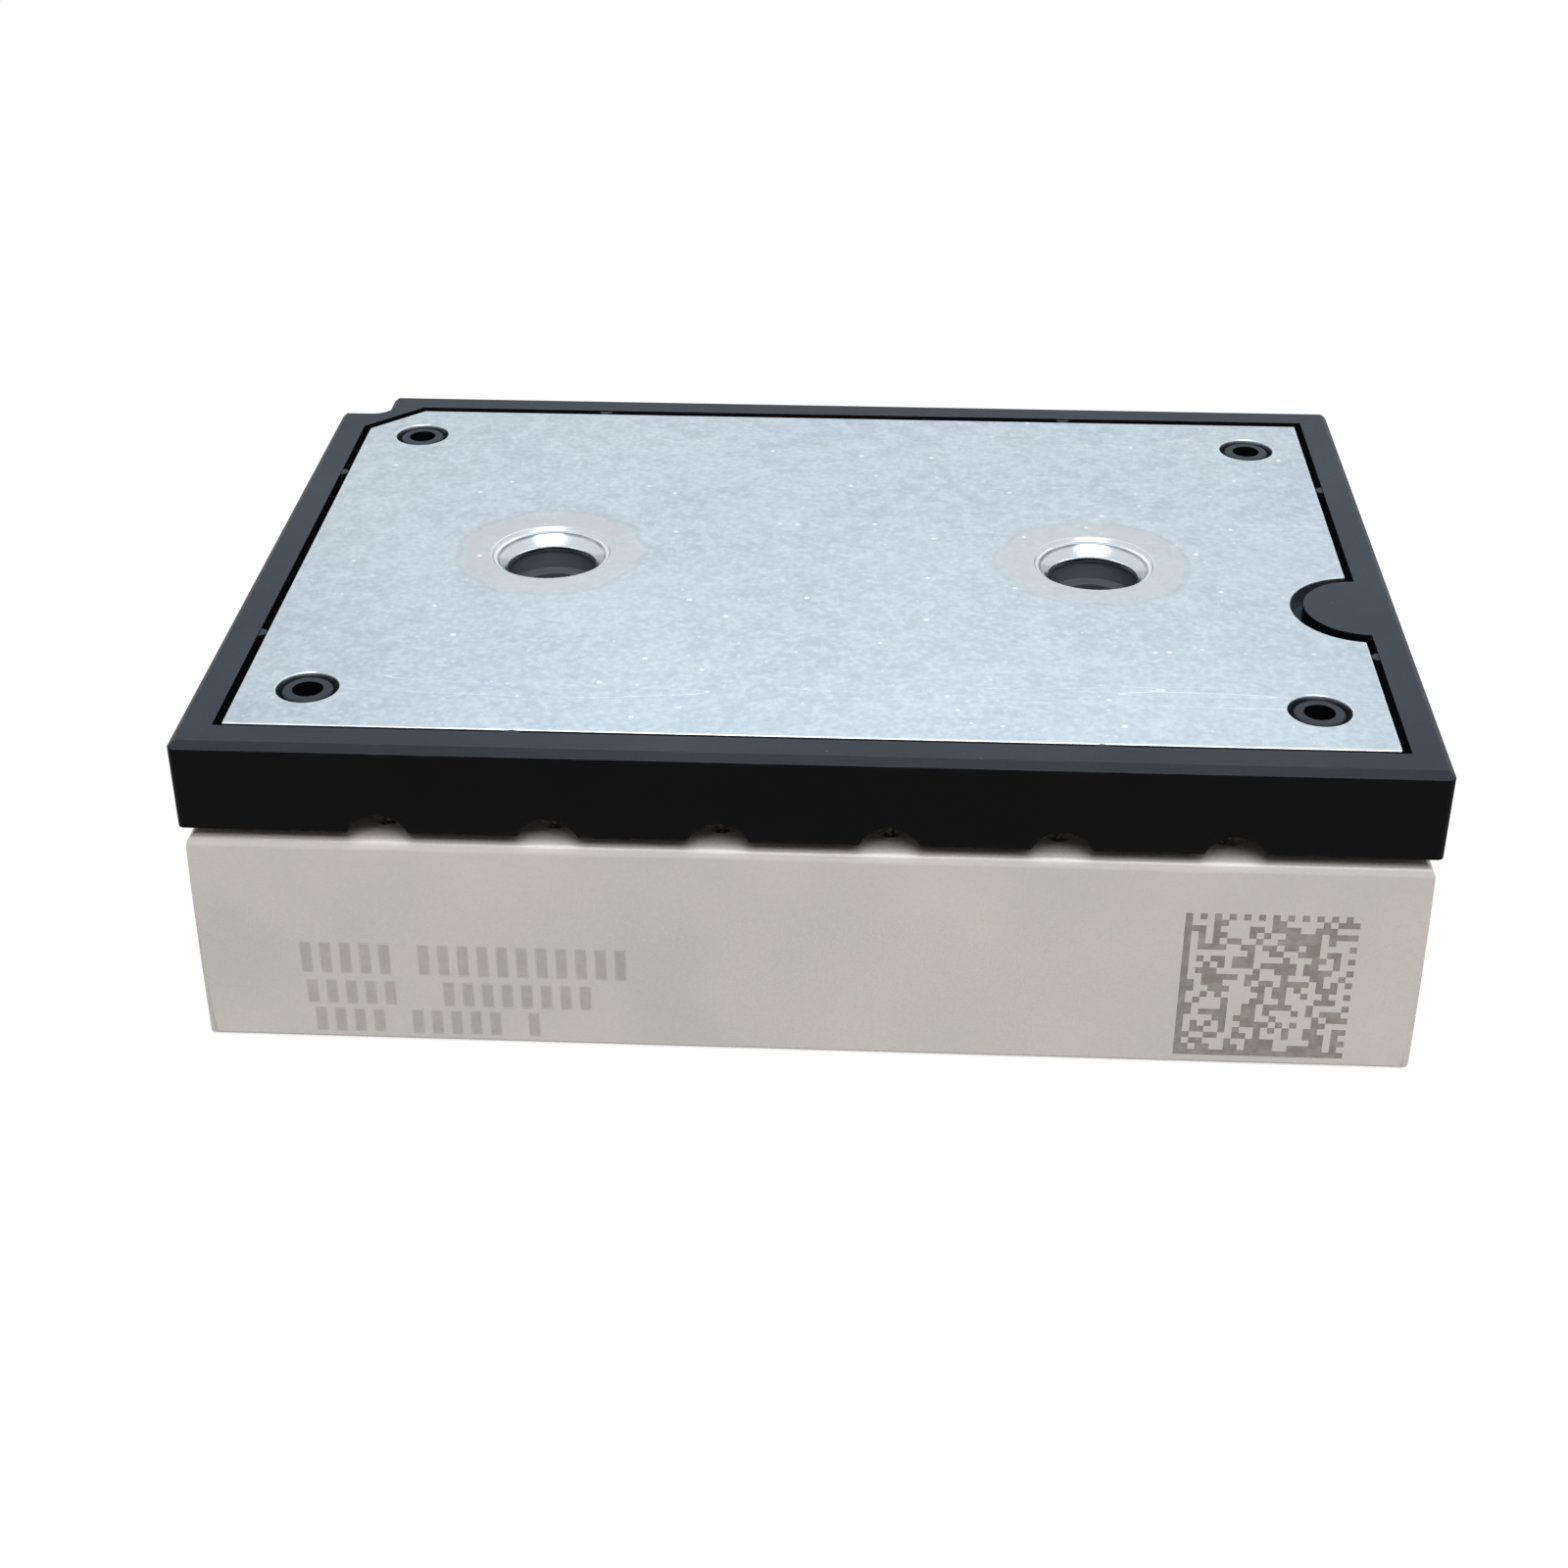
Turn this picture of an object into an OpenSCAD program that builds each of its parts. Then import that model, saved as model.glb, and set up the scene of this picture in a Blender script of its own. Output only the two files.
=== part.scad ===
// Power transistor module with spring contacts: a black pressure lid with its steel pressure plate,
// laid on a pale housing that guides twenty contact springs on to a copper-clad ceramic substrate.
// Origin: middle of the heat sink face. +X along the length, +Y to the back, +Z up.

/* [Housing] */
// Length of the module at its foot
body_l = 82; // [80:0.5:90]
// Width of the module at its foot
body_w = 59; // [58:0.5:66]
// Height of the housing's top over the heat sink face
body_h = 16; // [14:0.5:20]
// How far each side leans in from foot to top
body_draft = 0.3; // [0:0.05:0.6]
// Rounding of the housing's top edges
top_edge_r = 0.8; // [0.3:0.1:1.2]
// Rounding of the housing's foot
foot_edge_r = 0.3; // [0.1:0.05:0.5]
// Rounding of the housing's upright corners
corner_r = 0.8; // [0.3:0.1:1.2]
// How far the substrate stands proud of the housing's foot
foot_gap = 0.1; // [0.05:0.05:0.25]
// Wall beside the substrate
foot_wall_t = 1.6; // [1.2:0.1:2.2]
// Thickness of the housing's top
top_t = 2; // [1.5:0.1:3]
// Thickness of the ribs and webs inside
rib_t = 1.2; // [0.8:0.1:1.6]
// Diameter of the feet that press on the substrate
foot_d = 2.4; // [1.6:0.1:2.6]
// How far the ribs stay above the gel
rib_lift = 0.4; // [0.2:0.1:1]

/* [Screw bosses] */
// Distance between the two mounting screws
screw_pitch = 40; // [38:0.5:42]
// Bore for a mounting screw
screw_bore_d = 4.8; // [4.3:0.1:5.2]
// Diameter of the boss and of the lid's sleeve
boss_d = 9; // [8:0.1:10]
// How far the bosses stand over the housing's top
boss_h = 0.85; // [0.4:0.05:2]
// Play round a boss in the ceramic
boss_gap = 0.5; // [0.3:0.1:0.8]
// Counterbore in the top of the lid's sleeve
sink_d = 7; // [6.6:0.1:7.4]
// Depth of that counterbore under the plate
sink_depth = 1.45; // [0.5:0.05:2]

/* [Lid] */
// How far the lid reaches past the housing's foot line on each side
lid_overhang = 0; // [-0.3:0.1:1]
// Height of the lid's outer wall
lid_h = 6.4; // [6:0.1:9]
// Bevel round the lid's top edge
lid_bevel = 0.48; // [0.2:0.02:0.8]
// Width of the raised rim
rim_w = 2.45; // [2.2:0.05:3.2]
// Thickness of the lid's wall under the rim
lid_wall_t = 2; // [1.4:0.1:2.2]
// Thickness of the floor under the plate
lid_floor_t = 1.2; // [0.8:0.1:1.6]
// Thickness of the ribs under the floor
lid_rib_t = 1.4; // [1:0.1:2]
// How far those ribs stop above the lid's lower edge
lid_rib_lift = 0.15; // [0.1:0.05:0.6]
// Number of those ribs along the length
lid_long_ribs = 4; // [2:1:6]
// Rounding of the lid's upright corners
lid_corner_r = 0.5; // [0.2:0.1:1]
// Length of the notch in the back left corner
notch_l = 3.7; // [3:0.1:4.4]
// Width of the notch in the back left corner
notch_w = 3.5; // [3:0.1:4.2]
// Rounding in the notch's inner corner
notch_r = 1.2; // [0.6:0.1:1.8]
// Bevelled corner of the tray, beside the notch
tray_cut = 4.2; // [3.6:0.1:5]
// Radius of the half-round tab on the right rim
tab_r = 4.15; // [3:0.05:5]
// Place of the tab along the rim
tab_y = -6.6; // [-10:0.1:0]
// Width of an arch in the lower edge
arch_w = 4; // [3:0.1:5]
// Height of an arch in the lower edge
arch_h = 1.3; // [0.8:0.1:1.8]
// Place of the side crush ribs along the rim
crush_y = 13.8; // [10:0.1:18]
// Place of the front and back crush ribs along the rim
crush_x = 19; // [10:0.5:30]

/* [Plate] */
// Thickness of the pressure plate
plate_t = 1.5; // [1:0.1:2]
// How far the plate lies below the rim
plate_recess = 0.1; // [0:0.05:0.4]
// Gap between the plate and the rim
plate_gap = 0.5; // [0.3:0.05:0.8]
// Gap between the plate and the half-round tab
tab_gap = 0.9; // [0.5:0.1:1.2]
// Screw hole at the plate's underside
plate_hole_d = 6.5; // [5.6:0.1:7]
// Coined ring round a screw hole
coin_d = 8.8; // [8:0.1:9.6]
// Depth of the coined ring's step
coin_step = 0.3; // [0.2:0.05:0.5]
// Width of the flat between that step and the cone
coin_flat_w = 0.25; // [0.1:0.05:0.4]
// Depth at which the cone reaches the hole
coin_depth = 1.1; // [0.7:0.1:1.3]

/* [Board screw posts] */
// Distance between posts along the length
post_pitch_x = 67; // [65:0.5:68]
// Distance between posts across the width
post_pitch_y = 43; // [41:0.5:44]
// Diameter of a post
post_d = 3.5; // [3:0.1:4]
// Bore of a post
post_bore_d = 2.1; // [1.6:0.1:2.4]
// Gap round a post in the plate
post_gap = 0.35; // [0.2:0.05:0.5]
// How far a post's top lies below the plate's face
post_drop = 0.15; // [0:0.05:0.4]
// Rounding of a post's top
post_round_r = 0.25; // [0.1:0.05:0.4]
// How much wider than a post its socket under the floor is, at the socket's top
socket_w = 0.5; // [0.3:0.05:1]
// How much the socket tapers in towards its foot
socket_taper = 0.2; // [0.05:0.05:0.3]

/* [Substrate] */
// Thickness of the ceramic
ceramic_t = 0.38; // [0.25:0.01:0.64]
// Thickness of each copper layer
copper_t = 0.3; // [0.2:0.05:0.4]
// Distance of the copper from the ceramic's edge
copper_inset = 0.7; // [0.6:0.05:1]
// Gap between two copper areas
island_gap = 1; // [0.6:0.1:1.2]
// Width of the minus bus
minus_bus_w = 2.4; // [1.6:0.1:3]
// Copper left beside the chips
chip_margin = 0.55; // [0.3:0.05:0.8]
// Width of a pad under a spring of the outer rows
pad_l = 4.8; // [4:0.1:6]
// Length of a gate pad, in from the edge of the copper
gate_pad_w = 3.9; // [3.2:0.1:4.4]
// Length of a sensor pad
sensor_pad_w = 5; // [4:0.1:6]
// Width of a sensor pad
sensor_pad_l = 4; // [2.6:0.1:4.4]
// Play between the ceramic and the housing
ceramic_gap = 0.3; // [0.2:0.05:0.4]
// Width of the housing's ledge over the ceramic
ledge_w = 0.6; // [0.5:0.05:0.8]
// Thickness of the adhesive under the ledge
glue_t = 0.15; // [0.1:0.05:0.25]
// Level of the silicone gel over the heat sink face
gel_z = 4.6; // [3.6:0.1:6]

/* [Chips] */
// Edge length of a transistor chip
igbt_a = 8.2; // [6:0.1:8.6]
// Edge length of a diode chip
diode_a = 6; // [4:0.1:8]
// Thickness of the chips
chip_t = 0.2; // [0.12:0.01:0.3]
// Diameter of a bond wire
bond_d = 0.35; // [0.2:0.01:0.4]
// Height of a bond wire's loop
bond_h = 1.6; // [1.2:0.1:2]
// Distance between two bond wires on a transistor
igbt_bond_pitch = 2.05; // [1:0.05:2.4]
// How far a transistor's bond wires stand aside for the gate bond
igbt_bond_shift = 0.7; // [0.4:0.1:1]
// Distance between the two bond wires on a diode
diode_bond_pitch = 3; // [1:0.1:4]
// Distance of the gate bond from the sides of its chip and pad
gate_bond_inset = 0.9; // [0.6:0.1:1.2]
// Length of the temperature sensor
sensor_l = 3.2; // [2.8:0.1:3.6]
// Width of the temperature sensor
sensor_w = 1.6; // [1.2:0.1:2]
// Height of the temperature sensor
sensor_h = 0.9; // [0.5:0.1:1.2]

/* [Contact springs] */
// Distance between two columns of springs
column_pitch = 11.1; // [10.8:0.1:11.4]
// Distance of the outer rows from the edge of the ceramic
row_inset = 1.4; // [1.3:0.05:1.6]
// Distance of the inner rows from the middle line
inner_row_y = 3; // [2.6:0.1:3.6]
// Distance of the sensor's springs from the end of the ceramic
sensor_inset = 2.9; // [2.6:0.1:3.2]
// Diameter of the spring wire
wire_d = 0.5; // [0.4:0.05:0.5]
// Radius of the coil, to the middle of the wire
coil_r = 0.9; // [0.85:0.05:0.95]
// Turns of the coil
coil_turns = 6; // [4:1:7]
// Rise of the coil in one turn
coil_pitch = 1.35; // [1.2:0.05:1.5]
// Radius of the bends at the coil's ends
bend_r = 0.45; // [0.35:0.05:0.5]
// Length of the straight foot below the coil
spring_foot_l = 2.2; // [1.6:0.1:3]
// How far a contact tip stands over the housing's top
tip_proud = 0.8; // [0.3:0.05:0.9]
// Play between a coil and its shaft
shaft_gap = 0.15; // [0.1:0.05:0.25]
// Wall of a spring shaft
shaft_wall_t = 0.6; // [0.4:0.05:0.7]
// Play round a spring head in the housing's top
head_gap = 0.2; // [0.1:0.05:0.3]
// Size of the lead-in round such a hole
lead_in = 0.45; // [0.2:0.05:0.7]
// Depth of a lead-in with no spring under it
spare_depth = 1; // [0.5:0.1:1.5]
// How far a spring shaft stops above the circuit
shaft_lift = 1.4; // [1.2:0.1:2]

/* [Hidden] */
$fn = 48;
past = 1;       // how far a cutting body runs past what it cuts
merge = 0.3;    // how far a rib runs into the wall that carries it
arc_steps = 6;  // straight steps in each rounded edge
hair = 0.01;    // how much finer every other piece of a spring's wire is
run_in = 3;     // how many degrees such a piece runs into its neighbours

// levels, from the heat sink face up
ceramic_z = copper_t;
copper_z = ceramic_z + ceramic_t;
circuit_z = copper_z + copper_t;
chip_z = circuit_z + chip_t;
ledge_z = copper_z + glue_t;
ceiling_z = body_h - top_t;
rib_z = gel_z + rib_lift;
shaft_z = circuit_z + shaft_lift;
boss_z = body_h + boss_h;
lid_z = boss_z;
lid_top_z = lid_z + lid_h;
plate_top_z = lid_top_z - plate_recess;
tray_z = plate_top_z - plate_t;
lid_ceiling_z = tray_z - lid_floor_t;
sink_z = tray_z - sink_depth;

// plan sizes
lid_l = body_l + 2 * lid_overhang;
lid_w = body_w + 2 * lid_overhang;
tray_l = lid_l - 2 * rim_w;
tray_w = lid_w - 2 * rim_w;
recess_l = body_l - 2 * foot_wall_t;
recess_w = body_w - 2 * foot_wall_t;
cavity_l = recess_l - 2 * ledge_w;
cavity_w = recess_w - 2 * ledge_w;
ceramic_l = recess_l - 2 * ceramic_gap;
ceramic_w = recess_w - 2 * ceramic_gap;
copper_l = ceramic_l - 2 * copper_inset;
copper_w = ceramic_w - 2 * copper_inset;
ceramic_hole_d = boss_d + 2 * boss_gap;
copper_hole_d = ceramic_hole_d + 2 * copper_inset;
plate_cut = tray_cut - plate_gap * (2 - sqrt(2));

// circuit layout
outer_row_y = ceramic_w / 2 - row_inset;
sensor_x = -(ceramic_l / 2 - sensor_inset);
minus_out_y = copper_w / 2 - gate_pad_w - island_gap;
minus_in_y = minus_out_y - minus_bus_w;
bus_out_y = minus_in_y - island_gap;
chip_row_y = bus_out_y - chip_margin - igbt_a / 2;
bus_in_y = chip_row_y - igbt_a / 2 - chip_margin;
bond_reach = minus_in_y + minus_bus_w / 2 - chip_row_y;
bond_play = 0.05;   // between a bond wire and the gel round it
island_l = 2 * column_pitch - island_gap;

// spring geometry
quarter_rise = coil_pitch / 4;
spring_head_l = body_h + tip_proud - circuit_z - wire_d - 2 * bend_r - spring_foot_l
    - coil_turns * coil_pitch;
coil_z = circuit_z + wire_d / 2 + spring_foot_l + bend_r;
coil_tilt = atan(quarter_rise / coil_r);
lead_r = (coil_r ^ 2 - bend_r ^ 2) / (2 * coil_r);
lead_turn = 180 - atan(bend_r / lead_r);
shaft_r = coil_r + wire_d / 2 + shaft_gap;
shaft_d = 2 * (shaft_r + shaft_wall_t);
head_d = wire_d + 2 * head_gap;

// names and places of what repeats
PHASES = ["u", "v", "w"];
SIDES = ["high", "low"];
SCREWS = [-screw_pitch / 2, screw_pitch / 2];
COLUMNS = [for (i = [0:5]) (i - 2.5) * column_pitch];
RIBS = [for (i = [-3:3]) i * column_pitch];
SPRINGS = concat(
    [for (p = [0:2]) [str("spring_dc_plus_", p + 1), phase_x(p) + column_pitch / 2, outer_row_y]],
    [for (p = [0:2]) [str("spring_dc_minus_", p + 1), phase_x(p) - column_pitch / 2, -outer_row_y]],
    [for (p = [0:2]) [str("spring_gate_", PHASES[p], "_high"), phase_x(p) - column_pitch / 2, outer_row_y]],
    [for (p = [0:2]) [str("spring_gate_", PHASES[p], "_low"), phase_x(p) + column_pitch / 2, -outer_row_y]],
    [for (p = [0:2]) for (i = [1, 2])
        [str("spring_phase_", PHASES[p], "_", i), COLUMNS[[0, 3, 5][p]], (2 * i - 3) * inner_row_y]],
    [for (i = [1, 2]) [str("spring_sensor_", i), sensor_x, (2 * i - 3) * inner_row_y]]
);

function phase_x(p) = (p - 1) * 2 * column_pitch;

// points along an arc, from angle a0 to angle a1
function arc(cx, cy, r, a0, a1) =
    [for (i = [0:arc_steps]) let (a = a0 + (a1 - a0) * i / arc_steps) [cx + r * cos(a), cy + r * sin(a)]];

function rounded_rect(l, w, r) = concat(
    arc(-l / 2 + r, -w / 2 + r, r, 180, 270), arc(l / 2 - r, -w / 2 + r, r, 270, 360),
    arc(l / 2 - r, w / 2 - r, r, 0, 90), arc(-l / 2 + r, w / 2 - r, r, 90, 180));

// half of the housing's section: rounded foot, leaning side, rounded top edge
function housing_side(half) = concat(
    arc(half - foot_edge_r, foot_gap + foot_edge_r, foot_edge_r, -90, 0),
    arc(half - body_draft - top_edge_r, body_h - top_edge_r, top_edge_r, atan(body_draft / body_h), 90));

function mirrored(points) = [for (i = [len(points) - 1:-1:0]) [-points[i].x, points[i].y]];

// a rectangle with its back left corner cut off
function cut_rect(l, w, cut) = [
    [-l / 2, -w / 2], [l / 2, -w / 2], [l / 2, w / 2], [-l / 2 + cut, w / 2], [-l / 2, w / 2 - cut]];

module block(l, w, z0, z1) {
    translate([-l / 2, -w / 2, z0]) cube([l, w, z1 - z0]);
}

module pad(x0, x1, y0, y1, z0, z1) {
    translate([x0, y0, z0]) cube([x1 - x0, y1 - y0, z1 - z0]);
}

module upright(points, z0, z1) {
    translate([0, 0, z0]) linear_extrude(z1 - z0) polygon(points);
}

module post(x, y, d, z0, z1) {
    translate([x, y, z0]) cylinder(d = d, h = z1 - z0);
}

// ---- housing ----

module housing_form() {
    section_l = housing_side(body_l / 2);
    section_w = housing_side(body_w / 2);
    intersection() {
        rotate([90, 0, 0]) linear_extrude(body_w + 2 * past, center = true)
            polygon(concat(section_l, mirrored(section_l)));
        rotate([90, 0, 90]) linear_extrude(body_l + 2 * past, center = true)
            polygon(concat(section_w, mirrored(section_w)));
        upright(rounded_rect(body_l, body_w, corner_r), -past, body_h + past);
    }
}

module housing_ribs() {
    intersection() {
        block(cavity_l + 2 * merge, cavity_w + 2 * merge, rib_z, ceiling_z + merge);
        union() {
            for (x = RIBS) pad(x - rib_t / 2, x + rib_t / 2, -body_w, body_w, rib_z, body_h);
            for (y = [-inner_row_y, inner_row_y])
                pad(-body_l, body_l, y - rib_t / 2, y + rib_t / 2, rib_z, body_h);
        }
    }
}

// feet under the ribs, which carry the pressure of the lid to the substrate
module press_feet(z1) {
    for (p = [0:2]) for (y = [-chip_row_y, chip_row_y]) post(phase_x(p), y, foot_d, circuit_z, z1);
}

// a hole in the housing's top with its lead-in, at a spring or spare place
module head_hole(x, y, z0) {
    post(x, y, head_d, z0, body_h + past);
    translate([x, y, body_h - lead_in]) cylinder(d1 = head_d, d2 = head_d + 2 * lead_in, h = lead_in);
}

module spring_housing() color("linen") {
    difference() {
        union() {
            difference() {
                housing_form();
                block(recess_l, recess_w, -past, ledge_z);
                block(cavity_l, cavity_w, 0, ceiling_z);
            }
            housing_ribs();
            press_feet(ceiling_z + merge);
            for (s = SPRINGS) post(s[1], s[2], shaft_d, shaft_z, ceiling_z + merge);
            for (x = SCREWS) post(x, 0, boss_d, ceramic_z, boss_z);
        }
        for (s = SPRINGS) {
            post(s[1], s[2], 2 * shaft_r, shaft_z - past, ceiling_z);
            head_hole(s[1], s[2], ceiling_z - past);
        }
        for (x = RIBS) for (y = [-outer_row_y, outer_row_y]) head_hole(x, y, body_h - spare_depth);
        for (y = [-inner_row_y, inner_row_y]) head_hole(COLUMNS[2], y, body_h - spare_depth);
        for (x = SCREWS) post(x, 0, screw_bore_d, 0, boss_z + past);
    }
}

// ---- lid and plate ----

// the half-round tab, widened by more, with its middle on the rim's inner edge
module tab(more, z0, z1) {
    post(tray_l / 2, tab_y, 2 * (tab_r + more), z0, z1);
}

module tray() {
    difference() {
        upright(cut_rect(tray_l, tray_w, tray_cut), tray_z, lid_top_z + past);
        tab(0, tray_z - past, lid_top_z + 2 * past);
        for (y = [-crush_y, crush_y]) for (side = [-1, 1])
            post(side * tray_l / 2, y, 2 * plate_gap, tray_z - past, plate_top_z);
        for (x = [-crush_x, crush_x]) for (side = [-1, 1])
            post(x, side * tray_w / 2, 2 * plate_gap, tray_z - past, plate_top_z);
    }
}

module lid_cavity(grow, z1) {
    l = lid_l - 2 * lid_wall_t + 2 * grow;
    w = lid_w - 2 * lid_wall_t + 2 * grow;
    difference() {
        block(l, w, lid_z - past, z1);
        translate([-lid_l / 2, lid_w / 2, lid_z - 2 * past])
            rotate([0, 0, -90])
                cube([notch_w + lid_wall_t - grow, notch_l + lid_wall_t - grow, lid_h + 4 * past]);
    }
}

module lid_ribs() {
    intersection() {
        lid_cavity(merge, lid_ceiling_z + merge);
        union() {
            for (x = RIBS) pad(x - lid_rib_t / 2, x + lid_rib_t / 2, -lid_w, lid_w,
                lid_z + lid_rib_lift, lid_ceiling_z + merge);
            for (i = [0:lid_long_ribs - 1]) let (y = (i / (lid_long_ribs - 1) - 0.5) * post_pitch_y)
                pad(-lid_l, lid_l, y - lid_rib_t / 2, y + lid_rib_t / 2,
                    lid_z + lid_rib_lift, lid_ceiling_z + merge);
        }
    }
}

// the notch in the back left corner, with its rounded inner corner
module lid_notch() {
    z0 = lid_z - past;
    z1 = lid_top_z + past;
    translate([-lid_l / 2, lid_w / 2, 0]) {
        pad(-past, notch_l - notch_r, -notch_w, past, z0, z1);
        pad(-past, notch_l, -notch_w + notch_r, past, z0, z1);
        post(notch_l - notch_r, -notch_w + notch_r, 2 * notch_r, z0, z1);
    }
}

// cuts a bevel of the lid's width along a straight edge that runs along X, with its outside at -Y
module bevel_cut(length) {
    rotate([90, 0, 90]) linear_extrude(length, center = true)
        polygon([[0, -lid_bevel], [lid_bevel, 0], [lid_bevel, past], [-past, past], [-past, -lid_bevel]]);
}

module lid_bevels() {
    translate([0, 0, lid_top_z]) {
        for (turn = [0, 180]) rotate([0, 0, turn]) {
            translate([0, -lid_w / 2, 0]) bevel_cut(lid_l + 2 * past);
            translate([lid_l / 2, 0, 0]) rotate([0, 0, 90]) bevel_cut(lid_w + 2 * past);
        }
        translate([-lid_l / 2 + (notch_l - notch_r) / 2 - past / 2, lid_w / 2 - notch_w, 0])
            rotate([0, 0, 180]) bevel_cut(notch_l - notch_r + past);
        translate([-lid_l / 2 + notch_l, lid_w / 2 - (notch_w - notch_r) / 2 + past / 2, 0])
            rotate([0, 0, -90]) bevel_cut(notch_w - notch_r + past);
        translate([-lid_l / 2 + notch_l - notch_r, lid_w / 2 - notch_w + notch_r, -lid_bevel]) {
            cylinder(r1 = notch_r, r2 = notch_r + lid_bevel, h = lid_bevel);
            cylinder(r = notch_r, h = past);
        }
    }
}

// a hollow post for a board screw: a rounded top in the plate, on a tapered socket under the floor
module board_post(x, y) {
    top_z = plate_top_z - post_drop;
    foot_z = lid_z + lid_rib_lift;
    r = post_d / 2;
    translate([x, y, 0]) rotate_extrude() polygon(concat(
        [[0, foot_z], [r + socket_w - socket_taper, foot_z], [r + socket_w, lid_ceiling_z + merge],
         [r, tray_z - merge]],
        arc(r - post_round_r, top_z - post_round_r, post_round_r, 0, 90), [[0, top_z]]));
}

// one of the arches that lighten the lower edge, as a cylinder across the wall
module arch(x, y) {
    r = (arch_w ^ 2 / 4 + arch_h ^ 2) / (2 * arch_h);
    translate([x, y, lid_z + arch_h - r]) rotate([90, 0, 0])
        cylinder(r = r, h = 2 * lid_wall_t + past, center = true);
}

module pressure_lid() color("#1d1d20") {
    difference() {
        union() {
            difference() {
                upright(rounded_rect(lid_l, lid_w, lid_corner_r), lid_z, lid_top_z);
                lid_notch();
                tray();
                lid_cavity(0, lid_ceiling_z);
            }
            lid_ribs();
            for (x = SCREWS) post(x, 0, boss_d, lid_z, lid_ceiling_z + merge);
            for (x = [-1, 1]) for (y = [-1, 1]) board_post(x * post_pitch_x / 2, y * post_pitch_y / 2);
        }
        lid_bevels();
        for (x = SCREWS) {
            post(x, 0, screw_bore_d, lid_z - past, lid_top_z);
            post(x, 0, sink_d, sink_z, lid_top_z);
        }
        for (x = [-1, 1]) for (y = [-1, 1])
            post(x * post_pitch_x / 2, y * post_pitch_y / 2, post_bore_d, lid_z - past, lid_top_z + past);
        for (x = COLUMNS) for (y = [-lid_w / 2, lid_w / 2]) arch(x, y);
    }
}

// the coined screw hole: a shallow step and its flat, then a cone down to the punched hole
module coined_hole(x) {
    hole_r = plate_hole_d / 2;
    coin_r = coin_d / 2;
    step_r = coin_r - coin_step / 2;
    translate([x, 0, plate_top_z]) rotate_extrude() polygon([
        [0, past], [coin_r, past], [coin_r, 0], [step_r, -coin_step], [step_r - coin_flat_w, -coin_step],
        [hole_r, -coin_depth], [hole_r, -plate_t - past], [0, -plate_t - past]]);
}

module pressure_plate() color("#c3ccd2") {
    difference() {
        upright(cut_rect(tray_l - 2 * plate_gap, tray_w - 2 * plate_gap, plate_cut), tray_z, plate_top_z);
        tab(tab_gap, tray_z - past, plate_top_z + past);
        for (x = SCREWS) coined_hole(x);
        for (x = [-1, 1]) for (y = [-1, 1])
            post(x * post_pitch_x / 2, y * post_pitch_y / 2, post_d + 2 * post_gap,
                tray_z - past, plate_top_z + past);
    }
}

// ---- substrate ----

module ceramic_substrate() color("ivory") difference() {
    block(ceramic_l, ceramic_w, ceramic_z, copper_z);
    for (x = SCREWS) post(x, 0, ceramic_hole_d, 0, copper_z + past);
}

module heat_sink_copper() color("#b87348") difference() {
    block(copper_l, copper_w, 0, copper_t);
    for (x = SCREWS) post(x, 0, copper_hole_d, -past, copper_t + past);
}

module substrate_adhesive() color("dimgray") difference() {
    block(recess_l, recess_w, ceramic_z + ceramic_t / 2, ledge_z);
    block(ceramic_l, ceramic_w, 0, copper_z);
    block(cavity_l, cavity_w, 0, ledge_z + past);
}

// a copper area of the circuit, with room for the bosses
module circuit_area() {
    difference() {
        children();
        for (x = SCREWS) post(x, 0, copper_hole_d, 0, circuit_z + past);
    }
}

// a bus beside the row of chips, with a finger to each of its springs
module bus(y0, y1) {
    reach = 3 * column_pitch - island_gap / 2;
    pad(-reach, reach, y0, y1, copper_z, circuit_z);
    for (p = [0:2]) translate([phase_x(p) + column_pitch / 2, 0, 0])
        pad(-pad_l / 2, pad_l / 2, y1 - merge, copper_w / 2, copper_z, circuit_z);
}

module copper_dc_plus() color("#c0784a") bus(bus_in_y, bus_out_y);

module copper_dc_minus() color("#c0784a") rotate([0, 0, 180]) bus(minus_in_y, minus_out_y);

module copper_phase(p) color("#c0784a") circuit_area()
    translate([phase_x(p), 0, 0])
        pad(-island_l / 2, island_l / 2, -bus_out_y, bus_in_y - island_gap, copper_z, circuit_z);

module copper_gate_pads() color("#c0784a")
    for (turn = [0, 180]) rotate([0, 0, turn]) for (p = [0:2])
        translate([phase_x(p) - column_pitch / 2, 0, 0])
            pad(-pad_l / 2, pad_l / 2, copper_w / 2 - gate_pad_w, copper_w / 2, copper_z, circuit_z);

module copper_sensor_pads() color("#c0784a")
    for (turn = [0, 1]) mirror([0, turn, 0]) translate([sensor_x, 0, 0])
        pad(-sensor_pad_l / 2, sensor_pad_l / 2, island_gap, island_gap + sensor_pad_w, copper_z, circuit_z);

module temperature_sensor() color("#4d4a46")
    translate([sensor_x, 0, 0]) block(sensor_w, sensor_l, circuit_z, circuit_z + sensor_h);

// ---- chips and bond wires: the high side as drawn, the low side turned round ----

module switch_frame(p, s) {
    translate([phase_x(p), 0, 0]) rotate([0, 0, s == 0 ? 0 : 180]) children();
}

module chip_at(x, a) {
    translate([x, chip_row_y, 0]) block(a, a, circuit_z, chip_z);
}

module igbt(p, s) color("#8f9499") switch_frame(p, s) chip_at(-column_pitch / 2, igbt_a);

module diode(p, s) color("#a3a8ac") switch_frame(p, s) chip_at(column_pitch / 2, diode_a);

function loop_r(y0, y1) = ((y1 - y0) ^ 2 / 4 + bond_h ^ 2) / (2 * bond_h);

// a ring whose part above the circuit is one wire's loop, from y0 to y1
module loop_place(x, y0, y1) {
    translate([x, (y0 + y1) / 2, circuit_z + bond_h - loop_r(y0, y1)]) rotate([0, 90, 0]) children();
}

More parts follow.
